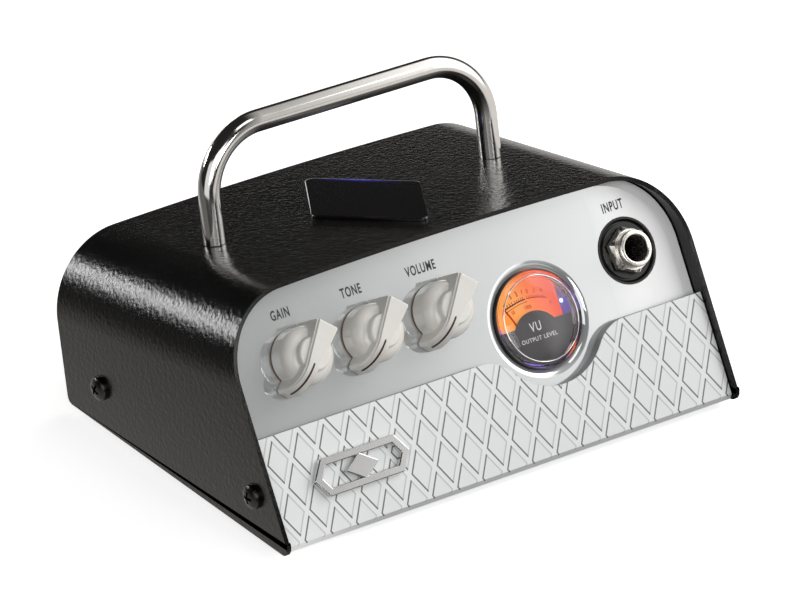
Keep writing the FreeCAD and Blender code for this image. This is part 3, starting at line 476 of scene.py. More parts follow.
def window_glass():
    """Smoked window, black but for painted blue light: an emission along its rear edge that stands in for the glow
    leaking from inside.
    """
    shade = Shader("window_glass", Specular_IOR_Level=0.5, IOR=1.5, Coat_Weight=0.6, Coat_Roughness=0.03)
    where = shade.place(at(TILT, 0, WINDOW_BACK))
    parts = shade.node("ShaderNodeSeparateXYZ", Vector=where)
    # Painted glow: the mask below puts emission along the glass's rear edge.
    rim = shade.math("ADD", shade.math("DIVIDE", parts.outputs["X"], WINDOW_HALF[0]),
                     shade.math("DIVIDE", parts.outputs["Y"], WINDOW_HALF[1]))
    along = shade.math("ABSOLUTE", shade.math("SUBTRACT", parts.outputs["X"], 7.0))
    glow = shade.math("MULTIPLY", shade.spread(rim, 0.84, 0.93), shade.spread(along, 1.0, 6.5, 1.0, 0.0))
    fine = shade.noise(where, 1.2, 3)
    shade.set(Base_Color=shade.colours(fine, (0.3, (0.006, 0.005, 0.006)), (0.7, (0.009, 0.008, 0.009))),
              Roughness=shade.spread(fine, 0.3, 0.7, 0.05, 0.09),
              Emission_Color=shade.colours(glow, (0.0, (0.0, 0.0, 0.0)), (0.6, (0.02, 0.02, 0.22)),
                                           (1.0, (0.06, 0.08, 0.75))),
              Emission_Strength=0.45)
    return shade.material


def clear_lens():
    """Clear plastic, with a low index of refraction that keeps the veil over the dial thin."""
    shade = Shader("clear_lens", IOR=1.3, Transmission_Weight=1.0, Roughness=0.0)
    where = shade.place(PANEL)
    cloud = shade.noise(where, 0.2, 2)
    shade.set(Base_Color=shade.colours(cloud, (0.3, (0.98, 0.98, 0.98)), (0.7, (1, 1, 1))))
    shade.bump(shade.noise(where, 0.25, 2), 0.02, 0.05)
    return shade.material


def board_green():
    shade = Shader("board_green", Specular_IOR_Level=0.5, Coat_Weight=0.4, Coat_Roughness=0.15)
    where = shade.place(LEVEL)
    traces = shade.cells(where, 0.35, 0.1)
    shade.set(Base_Color=shade.colours(traces, (0.25, (0.01, 0.10, 0.045)), (0.55, (0.02, 0.17, 0.08))),
              Roughness=shade.spread(traces, 0.2, 0.6, 0.25, 0.4))
    shade.bump(traces, 0.2, 0.05)
    return shade.material


def pad_rubber():
    shade = Shader("pad_rubber", Specular_IOR_Level=0.35)
    where = shade.place(LEVEL)
    fine = shade.noise(where, 2.5, 5, 0.7)
    shade.set(Base_Color=shade.colours(fine, (0.3, (0.012, 0.012, 0.012)), (0.7, (0.028, 0.027, 0.026))),
              Roughness=shade.spread(fine, 0.3, 0.7, 0.7, 0.9))
    shade.bump(fine, 0.3, 0.08)
    return shade.material


def dial_print():
    """Backlit orange dial drawn as painted glow: an emission brightest orange across the middle and redder at both
    sides, violet in the lower-left corner, and right of a straight edge a painted violet-to-red glow where the
    wall of the housing shows.
    """
    shade = Shader("dial_print")
    where = shade.place(METER)
    parts = shade.node("ShaderNodeSeparateXYZ", Vector=where)
    across = parts.outputs["X"]
    up = parts.outputs["Y"]
    cut = shade.spread(across, 9.2, 9.4)
    grain = shade.noise(where, 0.5, 3)
    slant = shade.math("ADD", across, shade.math("MULTIPLY", up, 0.25))
    slant = shade.math("ADD", shade.spread(slant, -11.0, 10.0), shade.math("MULTIPLY", grain, 0.08))
    # Painted backlight: brightest orange across the middle, redder at both sides.
    glow = shade.colours(slant, (0.0, (0.90, 0.13, 0.012)), (0.18, (1.0, 0.33, 0.04)),
                         (0.5, (1.0, 0.36, 0.09)), (0.75, (1.0, 0.20, 0.07)), (1.0, (0.85, 0.10, 0.05)))
    low = shade.math("ADD", up, shade.math("MULTIPLY", across, 0.6))
    # Painted glow: violet in the dial's lower-left corner.
    corner = shade.spread(low, -7.0, -5.0, 1.0, 0.0)
    glow = shade.mix(shade.math("MULTIPLY", corner, 0.9), glow, (0.28, 0.20, 0.95))
    # Painted glow where the housing wall shows, right of the cut.
    dark = shade.colours(shade.spread(up, -4.0, 9.0), (0.0, (0.13, 0.05, 0.16)),
                         (0.45, (0.13, 0.08, 0.42)), (0.62, (0.16, 0.07, 0.20)), (1.0, (0.40, 0.09, 0.05)))
    face = shade.mix(cut, glow, dark)
    shade.set(Base_Color=shade.mix(0.75, face, (0.0, 0.0, 0.0)),
              Roughness=shade.spread(grain, 0.3, 0.7, 0.4, 0.6),
              Emission_Color=face, Emission_Strength=0.85)
    return shade.material


# The meter's frame has its centre in the panel's face; the needle turns below and behind it.
METER_PIVOT = 11.0
NEEDLE_DEPTH = 3.3
METER = at(PANEL @ Matrix.Translation(PANEL.inverted() @ Vector(JOINTS["needle_swing"]["pos_m"])),
           0, METER_PIVOT, NEEDLE_DEPTH)
JACK = at(PANEL, 49.5, 43.2)


# ---------------------------------------------------------------- cover and handle

COVER_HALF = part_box("top_cover")[1][0] / MM
CORNER = 19.2
CROWN = 1500.0
SHEET = 1.1
BASE_DEPTH = 93.9
REAR_EDGE = BASE_DEPTH * math.cos(FALL)
RIM_HEIGHT = 53.4
TOP = RIM_HEIGHT * (math.cos(FALL) + math.tan(LEAN) * math.sin(FALL))
SKIRT_ROUND = 2.0


def arch_section():
    """Half of the cover's section, from the foot of the corner to the middle, as (x, z)."""
    centre_x = COVER_HALF - CORNER
    centre_z = TOP - CROWN + math.sqrt((CROWN - CORNER) ** 2 - centre_x ** 2)
    joint = math.degrees(math.atan2(centre_z - TOP + CROWN, centre_x))
    corner = arc((centre_x, centre_z), CORNER, 0, joint, 40)
    crown = arc((0, TOP - CROWN), CROWN, joint, 90, 12)
    return corner + crown[1:]


def cover():
    half = arch_section()
    section = half + [(-x, z) for x, z in reversed(half[:-1])]
    to_level = LEVEL.inverted() @ TILT
    points = []
    for x, z in section:
        front = z * math.tan(LEAN - FALL)
        points += [to_level @ Vector((x, front, z)), to_level @ Vector((x, REAR_EDGE, z))]
    faces = [[2 * k, 2 * k + 1, 2 * k + 3, 2 * k + 2] for k in range(len(section) - 1)]
    skirt = rounded([(0.0, 0.0), (BASE_DEPTH, 0.0), (BASE_DEPTH + 20 * math.tan(FALL), 20.0),
                     (20 * math.tan(LEAN), 20.0)], SKIRT_ROUND)
    skirt = [(y, z) for y, z in skirt if z < 10]
    rear_first = sorted(skirt, key=lambda spot: -spot[0])
    for side, column in ((1, 0), (-1, len(section) - 1)):
        start = len(points)
        points += [Vector((side * COVER_HALF, y, z)) for y, z in rear_first]
        faces.append([2 * column, 2 * column + 1] + list(range(start, start + len(rear_first))))
    shell = piece("cover_shell", mesh_of([tuple(point) for point in points], faces), LEVEL,
                  material=cover_coat(), replaces=["top_cover"])
    thickness = shell.modifiers.new("sheet", "SOLIDIFY")
    thickness.thickness = SHEET * MM
    thickness.offset = -1
    thickness.use_even_offset = True
    apply_modifiers(shell)
    bevel(shell, 0.38, 4, 50)
    return shell


HANDLE_BACK = 57.9
HANDLE_HALF = 40.0
HANDLE_BAR = TOP + 25.6
HANDLE_BEND = 15.5
ROD = 2.7


def swept_rod(path, radius, steps=48):
    """A round rod along a flat path of (x, z) points, with closed ends."""
    sections = []
    for k, (x, z) in enumerate(path):
        before = Vector(path[max(k - 1, 0)])
        after = Vector(path[min(k + 1, len(path) - 1)])
        along = (after - before).normalized()
        across = Vector((along.y, -along.x))
        sections.append([(x + across.x * radius * math.cos(math.tau * n / steps),
                          radius * math.sin(math.tau * n / steps),
                          z + across.y * radius * math.cos(math.tau * n / steps)) for n in range(steps)])
    return loft(sections)


def handle():
    foot = TOP - 0.4
    inner = HANDLE_HALF - HANDLE_BEND
    path = [(-HANDLE_HALF, foot), (-HANDLE_HALF, foot + 2)]
    path += arc((-inner, HANDLE_BAR - HANDLE_BEND), HANDLE_BEND, 180, 90, 28)
    path += arc((inner, HANDLE_BAR - HANDLE_BEND), HANDLE_BEND, 90, 0, 28)
    path += [(HANDLE_HALF, foot + 2), (HANDLE_HALF, foot)]
    rod = piece("handle_rod", swept_rod(path, ROD), at(TILT, 0, HANDLE_BACK), material=chrome(rough=0.10),
                replaces=["carry_handle"])
    return smooth(rod, 50)


WINDOW_BACK = 53.0
WINDOW_HALF = (15.8, 26.4)
WINDOW_RISE = 0.8


def window_outline(inset, radius):
    """The lozenge drawn a little smaller on every side."""
    x, y = WINDOW_HALF
    slope = math.hypot(x, y)
    x, y = x - inset * slope / y, y - inset * slope / x
    return rounded([(x, 0), (0, y), (-x, 0), (0, -y)], radius, 10)


def window():
    levels = ((0.05, 1.75, 0.02), (0.0, 1.8, 0.1), (0.0, 1.8, 0.56), (0.08, 1.75, 0.70), (0.25, 1.65, 0.78),
              (0.45, 1.5, WINDOW_RISE))
    sections = [[(x, y, z) for x, y in window_outline(inset, radius)] for inset, radius, z in levels]
    plate = piece("window_plate", loft(sections), at(TILT, 0, WINDOW_BACK, TOP),
                  material=window_glass(), replaces=["tube_window"])
    return smooth(plate, 20)


# ---------------------------------------------------------------- screws

def cross_screw(head, tall, shank, long):
    """A pan head with a cross recess, on a plain shank along -Z."""
    dome = [(0, -long), (shank, -long), (shank, 0), (head, 0), (head, tall * 0.35)]
    dome += [(head * math.cos(a), tall * (0.35 + 0.65 * math.sin(a)))
             for a in (math.radians(10 * k) for k in range(1, 9))] + [(0, tall)]
    body = bpy.data.objects.new("screw", lathe(dome, 64))
    slot_half = head * 0.13
    reach = head * 0.62
    arms = []
    for turn in (0, 90):
        arms.append(moved(loft([[(-reach * w, -slot_half * w, z), (reach * w, -slot_half * w, z),
                                 (reach * w, slot_half * w, z), (-reach * w, slot_half * w, z)]
                                for w, z in ((0.45, tall * 0.25), (1.05, tall * 1.3))]), spin=turn))
    cutter = bpy.data.objects.new("cross", merged(arms))
    for part in (body, cutter):
        bpy.context.collection.objects.link(part)
    notch = body.modifiers.new("cross", "BOOLEAN")
    notch.object = cutter
    notch.solver = "EXACT"
    notch.use_self = True
    apply_modifiers(body)
    mesh = body.data
    for part in (body, cutter):
        bpy.data.objects.remove(part)
    return mesh


SIDE_SCREW_Y = (14.9, 79.1)
SIDE_SCREW_UP = 10.3


def side_screws():
    black = metal("screw_black", (0.05, 0.05, 0.05), 0.28)
    heads = []
    for side in (-1, 1):
        for y in SIDE_SCREW_Y:
            screw = cross_screw(3.0, 2.0, 1.5, 4.0)
            screw.transform(Matrix.Translation((side * (COVER_HALF + 0.02), y, SIDE_SCREW_UP))
                            @ Matrix.Rotation(math.radians(90 * side), 4, "Y")
                            @ Matrix.Rotation(math.radians(20 + 31 * side + y), 4, "Z"))
            heads.append(screw)
    screws = piece("cover_screws", merged(heads), LEVEL, material=black,
                   replaces=["side_screws"])
    return smooth(screws, 30)


# ---------------------------------------------------------------- knobs

KNOB_GAP = 0.4
POINTER_REST = 49.0
FIN_TOP = 9.95
TAIL = 7.5
BEAK = 10.0


def beak_height(reach):
    """Height of the pointer's top at a distance from the axis towards the tip."""
    if reach < 2.6:
        return FIN_TOP
    share = min((reach - 2.6) / (BEAK - 2.6), 1.0)
    return 0.7 + (FIN_TOP - 0.7) * math.sqrt(max(1 - share ** 2.5, 0))


def fin_half(reach):
    """Half width of the pointer's top; reach is negative on the tail side."""
    if reach < 1.5:
        return 1.95 + 0.95 * ((1.5 - reach) / (1.5 + TAIL))
    return 1.95 - 0.35 * math.sin(math.pi * min((reach - 1.5) / (BEAK - 1.5), 1.0))


def fin_section(reach, inset, low, high):
    """A cross-section of the pointer with sides that lean in towards the top."""
    top = fin_half(reach) - inset
    foot = top + 0.35 * min(max(reach / BEAK, 0), 1)
    return [(-reach, -foot, low), (-reach, -top, high), (-reach, top, high), (-reach, foot, low)]


def knob_mesh():
    """A pointer knob in millimetres: round-shouldered barrel, stepped hub and curved pointer."""
    barrel = lathe([(0, 0), (6.85, 0), (7.0, 0.25), (6.95, 4.0)] + arc((4.2, 4.0), 2.7, 0, 82, 14)
                   + [(4.0, 6.85), (0, 7.0)], 160)
    hub = lathe([(0, 6), (4.15, 6), (4.1, 7.6)] + arc((3.5, 8.1), 0.6, 10, 90, 6) + [(0, 8.72)], 128)
    fin = []
    cap = []
    for k in range(33):
        reach = -TAIL + (BEAK - 0.15 + TAIL) * k / 32
        top = beak_height(reach)
        narrow = 1.0 if reach < BEAK - 1.2 else math.sqrt(max(1 - ((reach - BEAK + 1.2) / 1.3) ** 2, 0.12))
        body = fin_section(reach, 0.0, 0.0, top - 0.55)
        lid = fin_section(reach, 0.42, top - 1.2, top)
        fin.append([(x, y * narrow, z) for x, y, z in body])
        cap.append([(x, y * narrow, max(z, 0.0)) for x, y, z in lid])
    return melted(merged([barrel, hub, loft(fin), loft(cap)]), 0.1, 2)


def pointer_line():
    """The dark line let into the top of the beak."""
    sections = []
    for k in range(33):
        reach = 2.5 + (BEAK - 2.75) * k / 32
        top = beak_height(reach)
        half = 0.24 * min(1.0, 0.35 + k / 3)
        sections.append([(-reach - 0.02, -half, top - 0.4), (-reach - 0.03, -half, top + 0.02),
                         (-reach - 0.03, half, top + 0.02), (-reach - 0.02, half, top - 0.4)])
    return loft(sections)


def knobs():
    cream = plastic("knob_cream", (0.85, 0.83, 0.785), 0.2, 1.2, 0.01, waxy=0.1, coat=0.3)
    brown = ink("pointer_brown", (0.06, 0.022, 0.010))
    gap_shade = ink("gap_shade_brown", (0.20, 0.10, 0.04), 0.8)
    body_mesh = knob_mesh()
    for name in KNOBS:
        joint = JOINTS[name + "_turn"]
        centre = PANEL @ Matrix.Translation(PANEL.inverted() @ Vector(joint["pos_m"]))
        place = at(centre, 0, 0, KNOB_GAP - KNOB_AXIS_RISE, POINTER_REST)
        body = joint["child"]
        smooth(piece(name + "_pointer", body_mesh.copy(), place, body, cream,
                     [name + "_knob"]), 60)
        piece(name + "_line", pointer_line(), place, body, brown)
        # Painted shade: a dark brown ring under each knob stands in for the shadowed gap between the knob and the
        # panel.
        washer = lathe([(3.5, -0.37), (6.95, -0.37), (6.95, -0.03), (3.5, -0.03)], 96)
        piece(name + "_felt", washer, place, "amp_body", gap_shade)


# ---------------------------------------------------------------- labels

def label(name, text, place, height, squeeze, material, align="LEFT", weight=0.03):
    """Flat printed lettering. Height is that of its capitals."""
    curve = bpy.data.curves.new(name, "FONT")
    curve.body = text
    curve.size = height / 0.73
    curve.align_x = align
    curve.offset = weight * height
    curve.space_character = 1.17
    written = bpy.data.objects.new(name, curve)
    bpy.context.collection.objects.link(written)
    written.matrix_world = place @ Matrix.Diagonal((squeeze, 1, 1, 1))
    curve.materials.append(material)
    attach(written, "amp_body")


def rear_labels():
    grey = ink("label_grey", (0.55, 0.55, 0.55))
    for text, x, up in (("DC IN", 50, 9.0), ("POWER", 32, 10.2), ("ECO", 15, 5.6), ("LOAD", 0, 5.6),
                        ("EQ", -15, 5.6), ("PHONES", -30, 9.0), ("SPEAKER", -48, 10.2)):
        name = "rear_" + text.lower().replace(" ", "_")
        label(name, text, at(REAR, x, up, 0.03), 1.9, 0.8, grey, align="CENTER")


def panel_labels():
    black = ink("label_black", (0.012, 0.012, 0.012))
    for text, left in (("GAIN", -49.2), ("TONE", -29.6), ("VOLUME", -11.1), ("INPUT", 46.0)):
        label("label_" + text.lower(), text, at(PANEL, left, 53.3, 0.03), 2.35, 0.60, black)


# ---------------------------------------------------------------- meter

def ring_strip(radius, width, start, end, rise, steps=40):
    """A flat arc band centred on the needle's pivot."""
    outer = arc((0, -METER_PIVOT), radius + width / 2, start, end, steps)
    inner = arc((0, -METER_PIVOT), radius - width / 2, end, start, steps)
    return mesh_of([(x, y, rise) for x, y in outer + inner], [list(range(len(outer) + len(inner)))])


def ticks(angles, inner, outer, width, rise):
    marks = []
    for angle in angles:
        along = Vector((math.cos(math.radians(angle)), math.sin(math.radians(angle))))
        side = Vector((-along.y, along.x)) * width / 2
        foot = Vector((0, -METER_PIVOT))
        corners = [foot + along * inner - side, foot + along * outer - side,
                   foot + along * outer + side, foot + along * inner + side]
        marks.append(mesh_of([(c.x, c.y, rise) for c in corners], [[0, 1, 2, 3]]))
    return merged(marks)


DIAL_RISE = -3.72
MASK_PRINT = -2.30


def lens():
    """A thin clear cap with a bevelled rim round a faintly domed face."""
    outer = [(11.62, -2.15), (11.62, 0.45), (11.5, 0.66), (11.3, 0.8), (10.5, 1.12), (10.35, 1.32),
             (10.15, 1.42), (8.2, 1.6), (5.6, 1.76), (2.8, 1.85), (0, 1.88)]
    inner = [(0, 1.03), (5.6, 0.95), (9.8, 0.6), (10.85, 0.12), (10.9, -2.15)]
    cap = piece("lens_cap", lathe(outer + inner, 160), METER, material=clear_lens(),
                replaces=["meter_lens"])
    rim = lathe([(10.3 + 0.16 * math.cos(a), 1.40 + 0.12 * math.sin(a))
                 for a in (math.tau * k / 10 for k in range(10))], 160)
    piece("lens_rim", rim, METER, material=chrome("rim_chrome", (0.85, 0.84, 0.83), 0.05))
    return smooth(cap, 25)


def meter():
    black = ink("dial_black", (0.05, 0.012, 0.02))
    red = ink("dial_red", (0.55, 0.02, 0.01))
    white = ink("mask_white", (0.80, 0.80, 0.80))
    piece("scale_black", merged([
        ring_strip(16.3, 0.32, 112, 89, DIAL_RISE), ring_strip(15.6, 0.14, 112, 87.5, DIAL_RISE),
        ticks([110, 107.5, 105, 102.6, 99.8, 97.6, 95.4, 93.2, 91.2], 16.3, 17.05, 0.17, DIAL_RISE)]),
        METER, material=black)
    piece("scale_red", merged([
        ring_strip(16.3, 0.24, 88, 67.5, DIAL_RISE),
        ticks([87, 85, 83, 81, 79, 77, 75, 73, 71], 16.3, 16.95, 0.18, DIAL_RISE)]),
        METER, material=red)
    for text, angle, radius, tall, colour in (
            ("5", 101.0, 17.7, 1.15, black), ("3", 95.6, 17.7, 1.2, black), ("1", 90.4, 17.7, 1.2, black),
            ("0", 85.8, 17.6, 1.15, red), ("2", 79.4, 17.6, 1.15, red), ("4", 73.0, 17.6, 1.15, red),
            ("50", 106.0, 14.3, 0.9, red), ("100%", 88.6, 13.9, 0.9, red), ("+", 63.5, 14.8, 1.3, red)):
        spot = (radius * math.cos(math.radians(angle)), radius * math.sin(math.radians(angle)) - METER_PIVOT)
        label("dial_" + text.replace("%", "pc").replace("+", "plus"), text,
              at(METER, spot[0], spot[1], DIAL_RISE + 0.02, angle - 90), tall, 0.7, colour, align="CENTER")
    label("mask_vu", "VU", at(METER, 0, -2.6, MASK_PRINT), 2.3, 0.74, white, align="CENTER", weight=0.02)
    label("mask_level", "OUTPUT LEVEL", at(METER, 0.1, -4.85, MASK_PRINT), 1.05, 0.94, white, align="CENTER",
          weight=0.02)
    lamp = Shader("lamp_glow", Emission_Color=(0.35, 0.6, 1.0, 1.0), Emission_Strength=2.5)
    lamp.set(Base_Color=lamp.colours(lamp.noise(lamp.place(METER), 2.0), (0.3, (0.1, 0.2, 0.6)),
                                     (0.7, (0.2, 0.3, 0.9))))
    spark = lathe([(0, 0), (0.55, 0.05), (0.4, 0.25), (0, 0.3)], 24)
    piece("lamp_spark", spark, at(METER, 10.0, 2.4, DIAL_RISE), material=lamp.material)


# ---------------------------------------------------------------- sockets and nuts

def hex_nut(corner, thick, bore, spin=0):
    """A hexagonal nut with its corners turned off on both faces."""
    steps = 96
    flat = corner * math.cos(math.pi / 6)
    chamfer = 2 * (corner - flat)
    rows = []
    for height, limit in ((0.0, flat * 0.98), (0.28 * chamfer, corner),
                          (thick - 0.55 * chamfer, corner), (thick, flat * 0.96)):
        ring = []
        for k in range(steps):
            angle = math.tau * k / steps
            edge = flat / math.cos((angle % (math.pi / 3)) - math.pi / 6)
            radius = min(edge, limit)
            ring.append((radius * math.cos(angle), radius * math.sin(angle), height))
        rows.append(ring)
    rows += [circle(bore, thick, steps), circle(bore, 0.0, steps)]
    points = [point for row in rows for point in row]
    faces = []
    for row in range(len(rows)):
        start = row * steps
        next_start = (row + 1) % len(rows) * steps
        for k in range(steps):
            after = (k + 1) % steps
            faces.append([start + k, start + after, next_start + after, next_start + k])
    return moved(mesh_of(points, faces), spin=spin)


def sockets():
    nickel = metal("nickel", (0.86, 0.83, 0.78), 0.26, -0.06)
    smooth(piece("jack_nut", hex_nut(5.95, 2.55, 4.52, 36), at(JACK, z=-0.1), material=nickel,
                 replaces=["input_nut"]), 25)
    barrel = lathe([(3.2, -5.7), (4.5, -5.7), (4.5, 3.75)] + arc((4.05, 3.85), 0.45, 0, 90, 6)
                   + [(3.62, 4.36)] + arc((3.62, 3.92), 0.42, 90, 180, 6), 96)
    smooth(piece("jack_barrel", barrel, JACK, material=nickel, replaces=["input_barrel"]), 40)


# ---------------------------------------------------------------- emblem

def emblem():
    """A plain chrome badge: a long hexagonal frame round a lozenge."""
    place = at(PANEL, -40, 15.5, WHITE_RISE + 0.02)
    outer = [(-13.4, 0), (-10.4, -4.5), (10.4, -4.5), (13.4, 0), (10.4, 4.5), (-10.4, 4.5)]
    inner = [(-11, 0), (-9.3, -2.7), (9.3, -2.7), (11, 0), (9.3, 2.7), (-9.3, 2.7)]
    count = len(outer)
    points = [(x, y, z) for z in (0, 1.5) for loop in (outer, inner) for x, y in loop]
    faces = []
    for k in range(count):
        after = (k + 1) % count
        faces += [[k, after, count + after, count + k],
                  [2 * count + k, 3 * count + k, 3 * count + after, 2 * count + after],
                  [k, 2 * count + k, 2 * count + after, after],
                  [count + k, count + after, 3 * count + after, 3 * count + k]]
    mark = prism([(-4.8, 0), (0, -3.2), (4.8, 0), (0, 3.2)], 0, 1.5)
    badge = piece("front_badge", merged([mesh_of(points, faces), mark]), place,
                  material=chrome("badge_chrome", (0.72, 0.72, 0.72), 0.12),
                  replaces=["front_emblem"])
    return bevel(badge, 0.3, 3, 30)


# ---------------------------------------------------------------- materials of the CAD nodes

def dress(finishes):
    """Gives each kept CAD node its material and rounded shading."""
    for material, nodes in finishes:
        for node in nodes:
            made = frame["nodes"][node]
            made.data.materials.clear()
            made.data.materials.append(material)
            smooth(made, 28)


def dress_nodes():
    steel = metal("zinc_steel", (0.62, 0.63, 0.64), 0.35)
    nickel = bpy.data.materials["nickel"]
    coat = plastic("tray_coat", (0.02, 0.02, 0.021), 0.42, 1.1, 0.12)
    black = plastic("socket_black", (0.014, 0.014, 0.014), 0.32, 1.6, 0.04)
    well = plastic("well_black", (0.008, 0.008, 0.008), 0.22, 1.0, 0.02)
    dress([
        (grey_gloss(), ["upper_front_panel"]),
        (lattice_white(), ["lower_front_panel"]),
        (coat, ["base_tray", "rear_panel"]),
        (steel, ["front_bracket", "handle_washers", "handle_nuts", "slide_switches", "gain_pot", "tone_pot",
                 "volume_pot"]),
        (metal("shaft_alloy", (0.75, 0.75, 0.76), 0.3), ["gain_shaft", "tone_shaft", "volume_shaft"]),
        (nickel, ["pot_nuts", "rear_nuts", "dc_pin", "input_contacts", "standoffs", "tube_spacers"]),
        (well, ["input_well", "input_washer"]),
        (black, ["input_jack_body", "speaker_jack", "phones_jack", "dc_inlet", "eco_slider",
                 "impedance_slider", "eq_slider", "meter_movement", "meter_housing"]),
        (plastic("rocker_black", (0.02, 0.02, 0.02), 0.2), ["power_switch", "power_rocker"]),
        (metal("chassis_screw_black", (0.06, 0.06, 0.06), 0.3), ["chassis_screws"]),
        (pad_rubber(), ["rubber_feet"]),
        (board_green(), ["main_board", "front_board", "tube_board", "meter_lamp"]),
        (plastic("capacitor_sleeve", (0.02, 0.03, 0.09), 0.3), ["filter_capacitors"]),
        (metal("sink_alloy", (0.42, 0.42, 0.44), 0.4), ["heat_sink"]),
        (metal("coil_copper", (0.75, 0.32, 0.12), 0.3), ["output_inductors"]),
        (plastic("tube_glass", (0.30, 0.45, 0.48), 0.1), ["tube_module"]),
        (plastic("led_blue", (0.05, 0.12, 0.8), 0.1), ["glow_led"]),
        (metal("bezel_black", (0.10, 0.09, 0.09), 0.22), ["meter_bezel"]),
        (dial_print(), ["meter_dial"]),
        (plastic("mask_grey", (0.085, 0.08, 0.085), 0.5), ["meter_mask"]),
        (ink("needle_red", (0.6, 0.015, 0.01), 0.35), ["meter_needle"]),
    ])


# ---------------------------------------------------------------- stage, lights and camera

def flat_shader(name, colour, strength):
    shade = Shader(name, Base_Color=(*colour, 1.0), Roughness=0.9, Emission_Strength=strength,
                   Emission_Color=(*colour, 1.0))
    return shade.material


def plane(name, size, place, material):
    half = size / 2
    mesh = mesh_of([(-half, -half, 0), (half, -half, 0), (half, half, 0), (-half, half, 0)], [[0, 1, 2, 3]])
    made = bpy.data.objects.new(name, mesh)
    bpy.context.collection.objects.link(made)
    made.matrix_world = place
    mesh.materials.append(material)
    return made


def floor():
    """A pale floor for the camera, and under it a darker table top that the gloss parts mirror."""
    ground = plane("floor", 16, Matrix.Identity(4), flat_shader("floor_white", (0.92, 0.92, 0.92), 0.75))
    ground.visible_glossy = False
    ground.visible_diffuse = False
    table = Shader("table", Roughness=0.9, Base_Color=(0.02, 0.02, 0.02, 1.0), Emission_Strength=1.0)
    where = table.node("ShaderNodeTexCoord").outputs["Object"]
    parts = table.node("ShaderNodeSeparateXYZ", Vector=where)
    left = table.math("MULTIPLY", table.spread(parts.outputs["X"], -0.16, -0.07, 0.15, 1.0),
                      table.spread(parts.outputs["X"], -0.06, -0.04, 1.0, 0.0))
    left = table.math("MULTIPLY", left, table.spread(parts.outputs["Y"], -0.085, -0.05))
    right = table.spread(parts.outputs["X"], 0.06, 0.14)
    light = table.math("ADD", table.math("MULTIPLY", left, 0.75), table.math("MULTIPLY", right, 0.75))
    light = table.math("ADD", light, 0.02)
    table.set(Emission_Color=table.colours(light, (0.0, (0, 0, 0)), (1.0, (1, 0.97, 0.93))))
    under = plane("table", 16, Matrix.Translation((0, 0, -0.0005)), table.material)
    under.visible_camera = False
    under.visible_shadow = False


def softbox(name, direction, distance, size, power, aim=(0, 0, 0.03)):
    """A rectangular light that faces the object from a direction."""
    lamp = bpy.data.lights.new(name, "AREA")
    lamp.shape = "RECTANGLE"
    lamp.size, lamp.size_y = size
    lamp.energy = power
    made = bpy.data.objects.new(name, lamp)
    bpy.context.collection.objects.link(made)
    away = Vector(direction).normalized()
    made.location = Vector(aim) + away * distance
    made.rotation_euler = away.to_track_quat("Z", "Y").to_euler()
    made.visible_camera = False
    return made


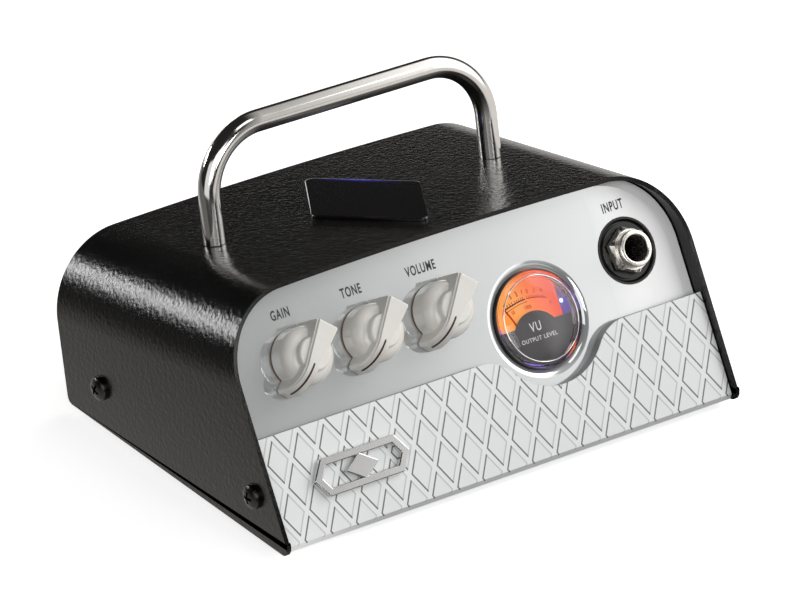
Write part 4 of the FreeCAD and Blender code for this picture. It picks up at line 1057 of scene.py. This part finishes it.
def studio():
    """A dark room with a large soft wall on the right, brighter the further right."""
    world = bpy.data.worlds.new("studio")
    bpy.context.scene.world = world
    world.use_nodes = True
    tree = world.node_tree

    def node(kind, **settings):
        made = tree.nodes.new(kind)
        for key, value in settings.items():
            setattr(made, key, value)
        return made

    def ramp(source, low, high, to_low, to_high, kind="SMOOTHSTEP"):
        made = node("ShaderNodeMapRange", interpolation_type=kind)
        spans = {"From Min": low, "From Max": high, "To Min": to_low, "To Max": to_high}
        for socket_name, value in spans.items():
            made.inputs[socket_name].default_value = value
        tree.links.new(source, made.inputs["Value"])
        return made.outputs["Result"]

    def joined(operation, first, second):
        made = node("ShaderNodeMath", operation=operation)
        for socket, value in zip(made.inputs, (first, second)):
            if isinstance(value, bpy.types.NodeSocket):
                tree.links.new(value, socket)
            else:
                socket.default_value = value
        return made.outputs[0]

    parts = node("ShaderNodeSeparateXYZ")
    tree.links.new(node("ShaderNodeTexCoord").outputs["Generated"], parts.inputs[0])
    across, deep, high = parts.outputs
    wall = joined("ADD", ramp(across, 0.20, 0.49, 0.0, 0.38),
                  ramp(across, 0.499, 0.57, 0.0, 1.6, "LINEAR"))
    wall = joined("MULTIPLY", wall, ramp(high, -0.25, 0.20, 0.0, 1.0))
    behind = joined("SUBTRACT", deep, joined("MULTIPLY", high, 1.2))
    wall = joined("MULTIPLY", wall, ramp(behind, -0.45, 0.0, 1.0, 0.0))
    light = joined("ADD", wall, 0.02)
    tree.links.new(light, tree.nodes["Background"].inputs["Strength"])
    tree.nodes["Background"].inputs["Color"].default_value = (1.0, 0.99, 0.97, 1)


def lights():
    softbox("key_right", (0.80, -0.35, 0.60), 0.75, (0.4, 0.4), 1.2)
    softbox("front", (0.05, -0.92, 0.36), 0.9, (0.25, 0.25), 1.0)
    softbox("fill_left", (-0.85, -0.50, 0.25), 0.8, (0.7, 0.7), 1.3)
    softbox("front_left", (-0.45, -0.85, 0.50), 1.0, (0.6, 0.6), 1.7)
    softbox("rim_left", (-0.43, 0.865, 0.24), 0.8, (0.34, 0.10), 1.5, aim=(-0.055, 0, 0.05))
    softbox("rear_fill", (0.05, 1.0, 0.03), 0.8, (0.5, 0.08), 0.3)
    softbox("overhead", (0.15, -0.45, 0.88), 0.9, (0.3, 0.3), 0.5)
    studio()


CAMERA_AZIMUTH = -35.41
CAMERA_ELEVATION = 27.42
CAMERA_DISTANCE = 1.458
CAMERA_AIM = (-0.0029, -0.0063, 0.0312)
CAMERA_LENS = 277.76


def camera():
    turn = math.radians(CAMERA_AZIMUTH)
    rise = math.radians(CAMERA_ELEVATION)
    back = Vector((math.sin(turn) * math.cos(rise), -math.cos(turn) * math.cos(rise), math.sin(rise)))
    right = Vector((math.cos(turn), math.sin(turn), 0))
    up = back.cross(right)
    lens = bpy.data.cameras.new("camera")
    lens.lens = CAMERA_LENS
    lens.sensor_width = 36
    lens.clip_start = 0.05
    view = bpy.data.objects.new("camera", lens)
    bpy.context.collection.objects.link(view)
    view.matrix_world = Matrix.Translation(Vector(CAMERA_AIM) + back * CAMERA_DISTANCE) @ Matrix(
        (right, up, back)).transposed().to_4x4()
    bpy.context.scene.camera = view


cover()
handle()
window()
side_screws()
knobs()
panel_labels()
rear_labels()
lens()
meter()
sockets()
emblem()
dress_nodes()
floor()
lights()
camera()
bpy.context.scene.view_settings.view_transform = "Standard"
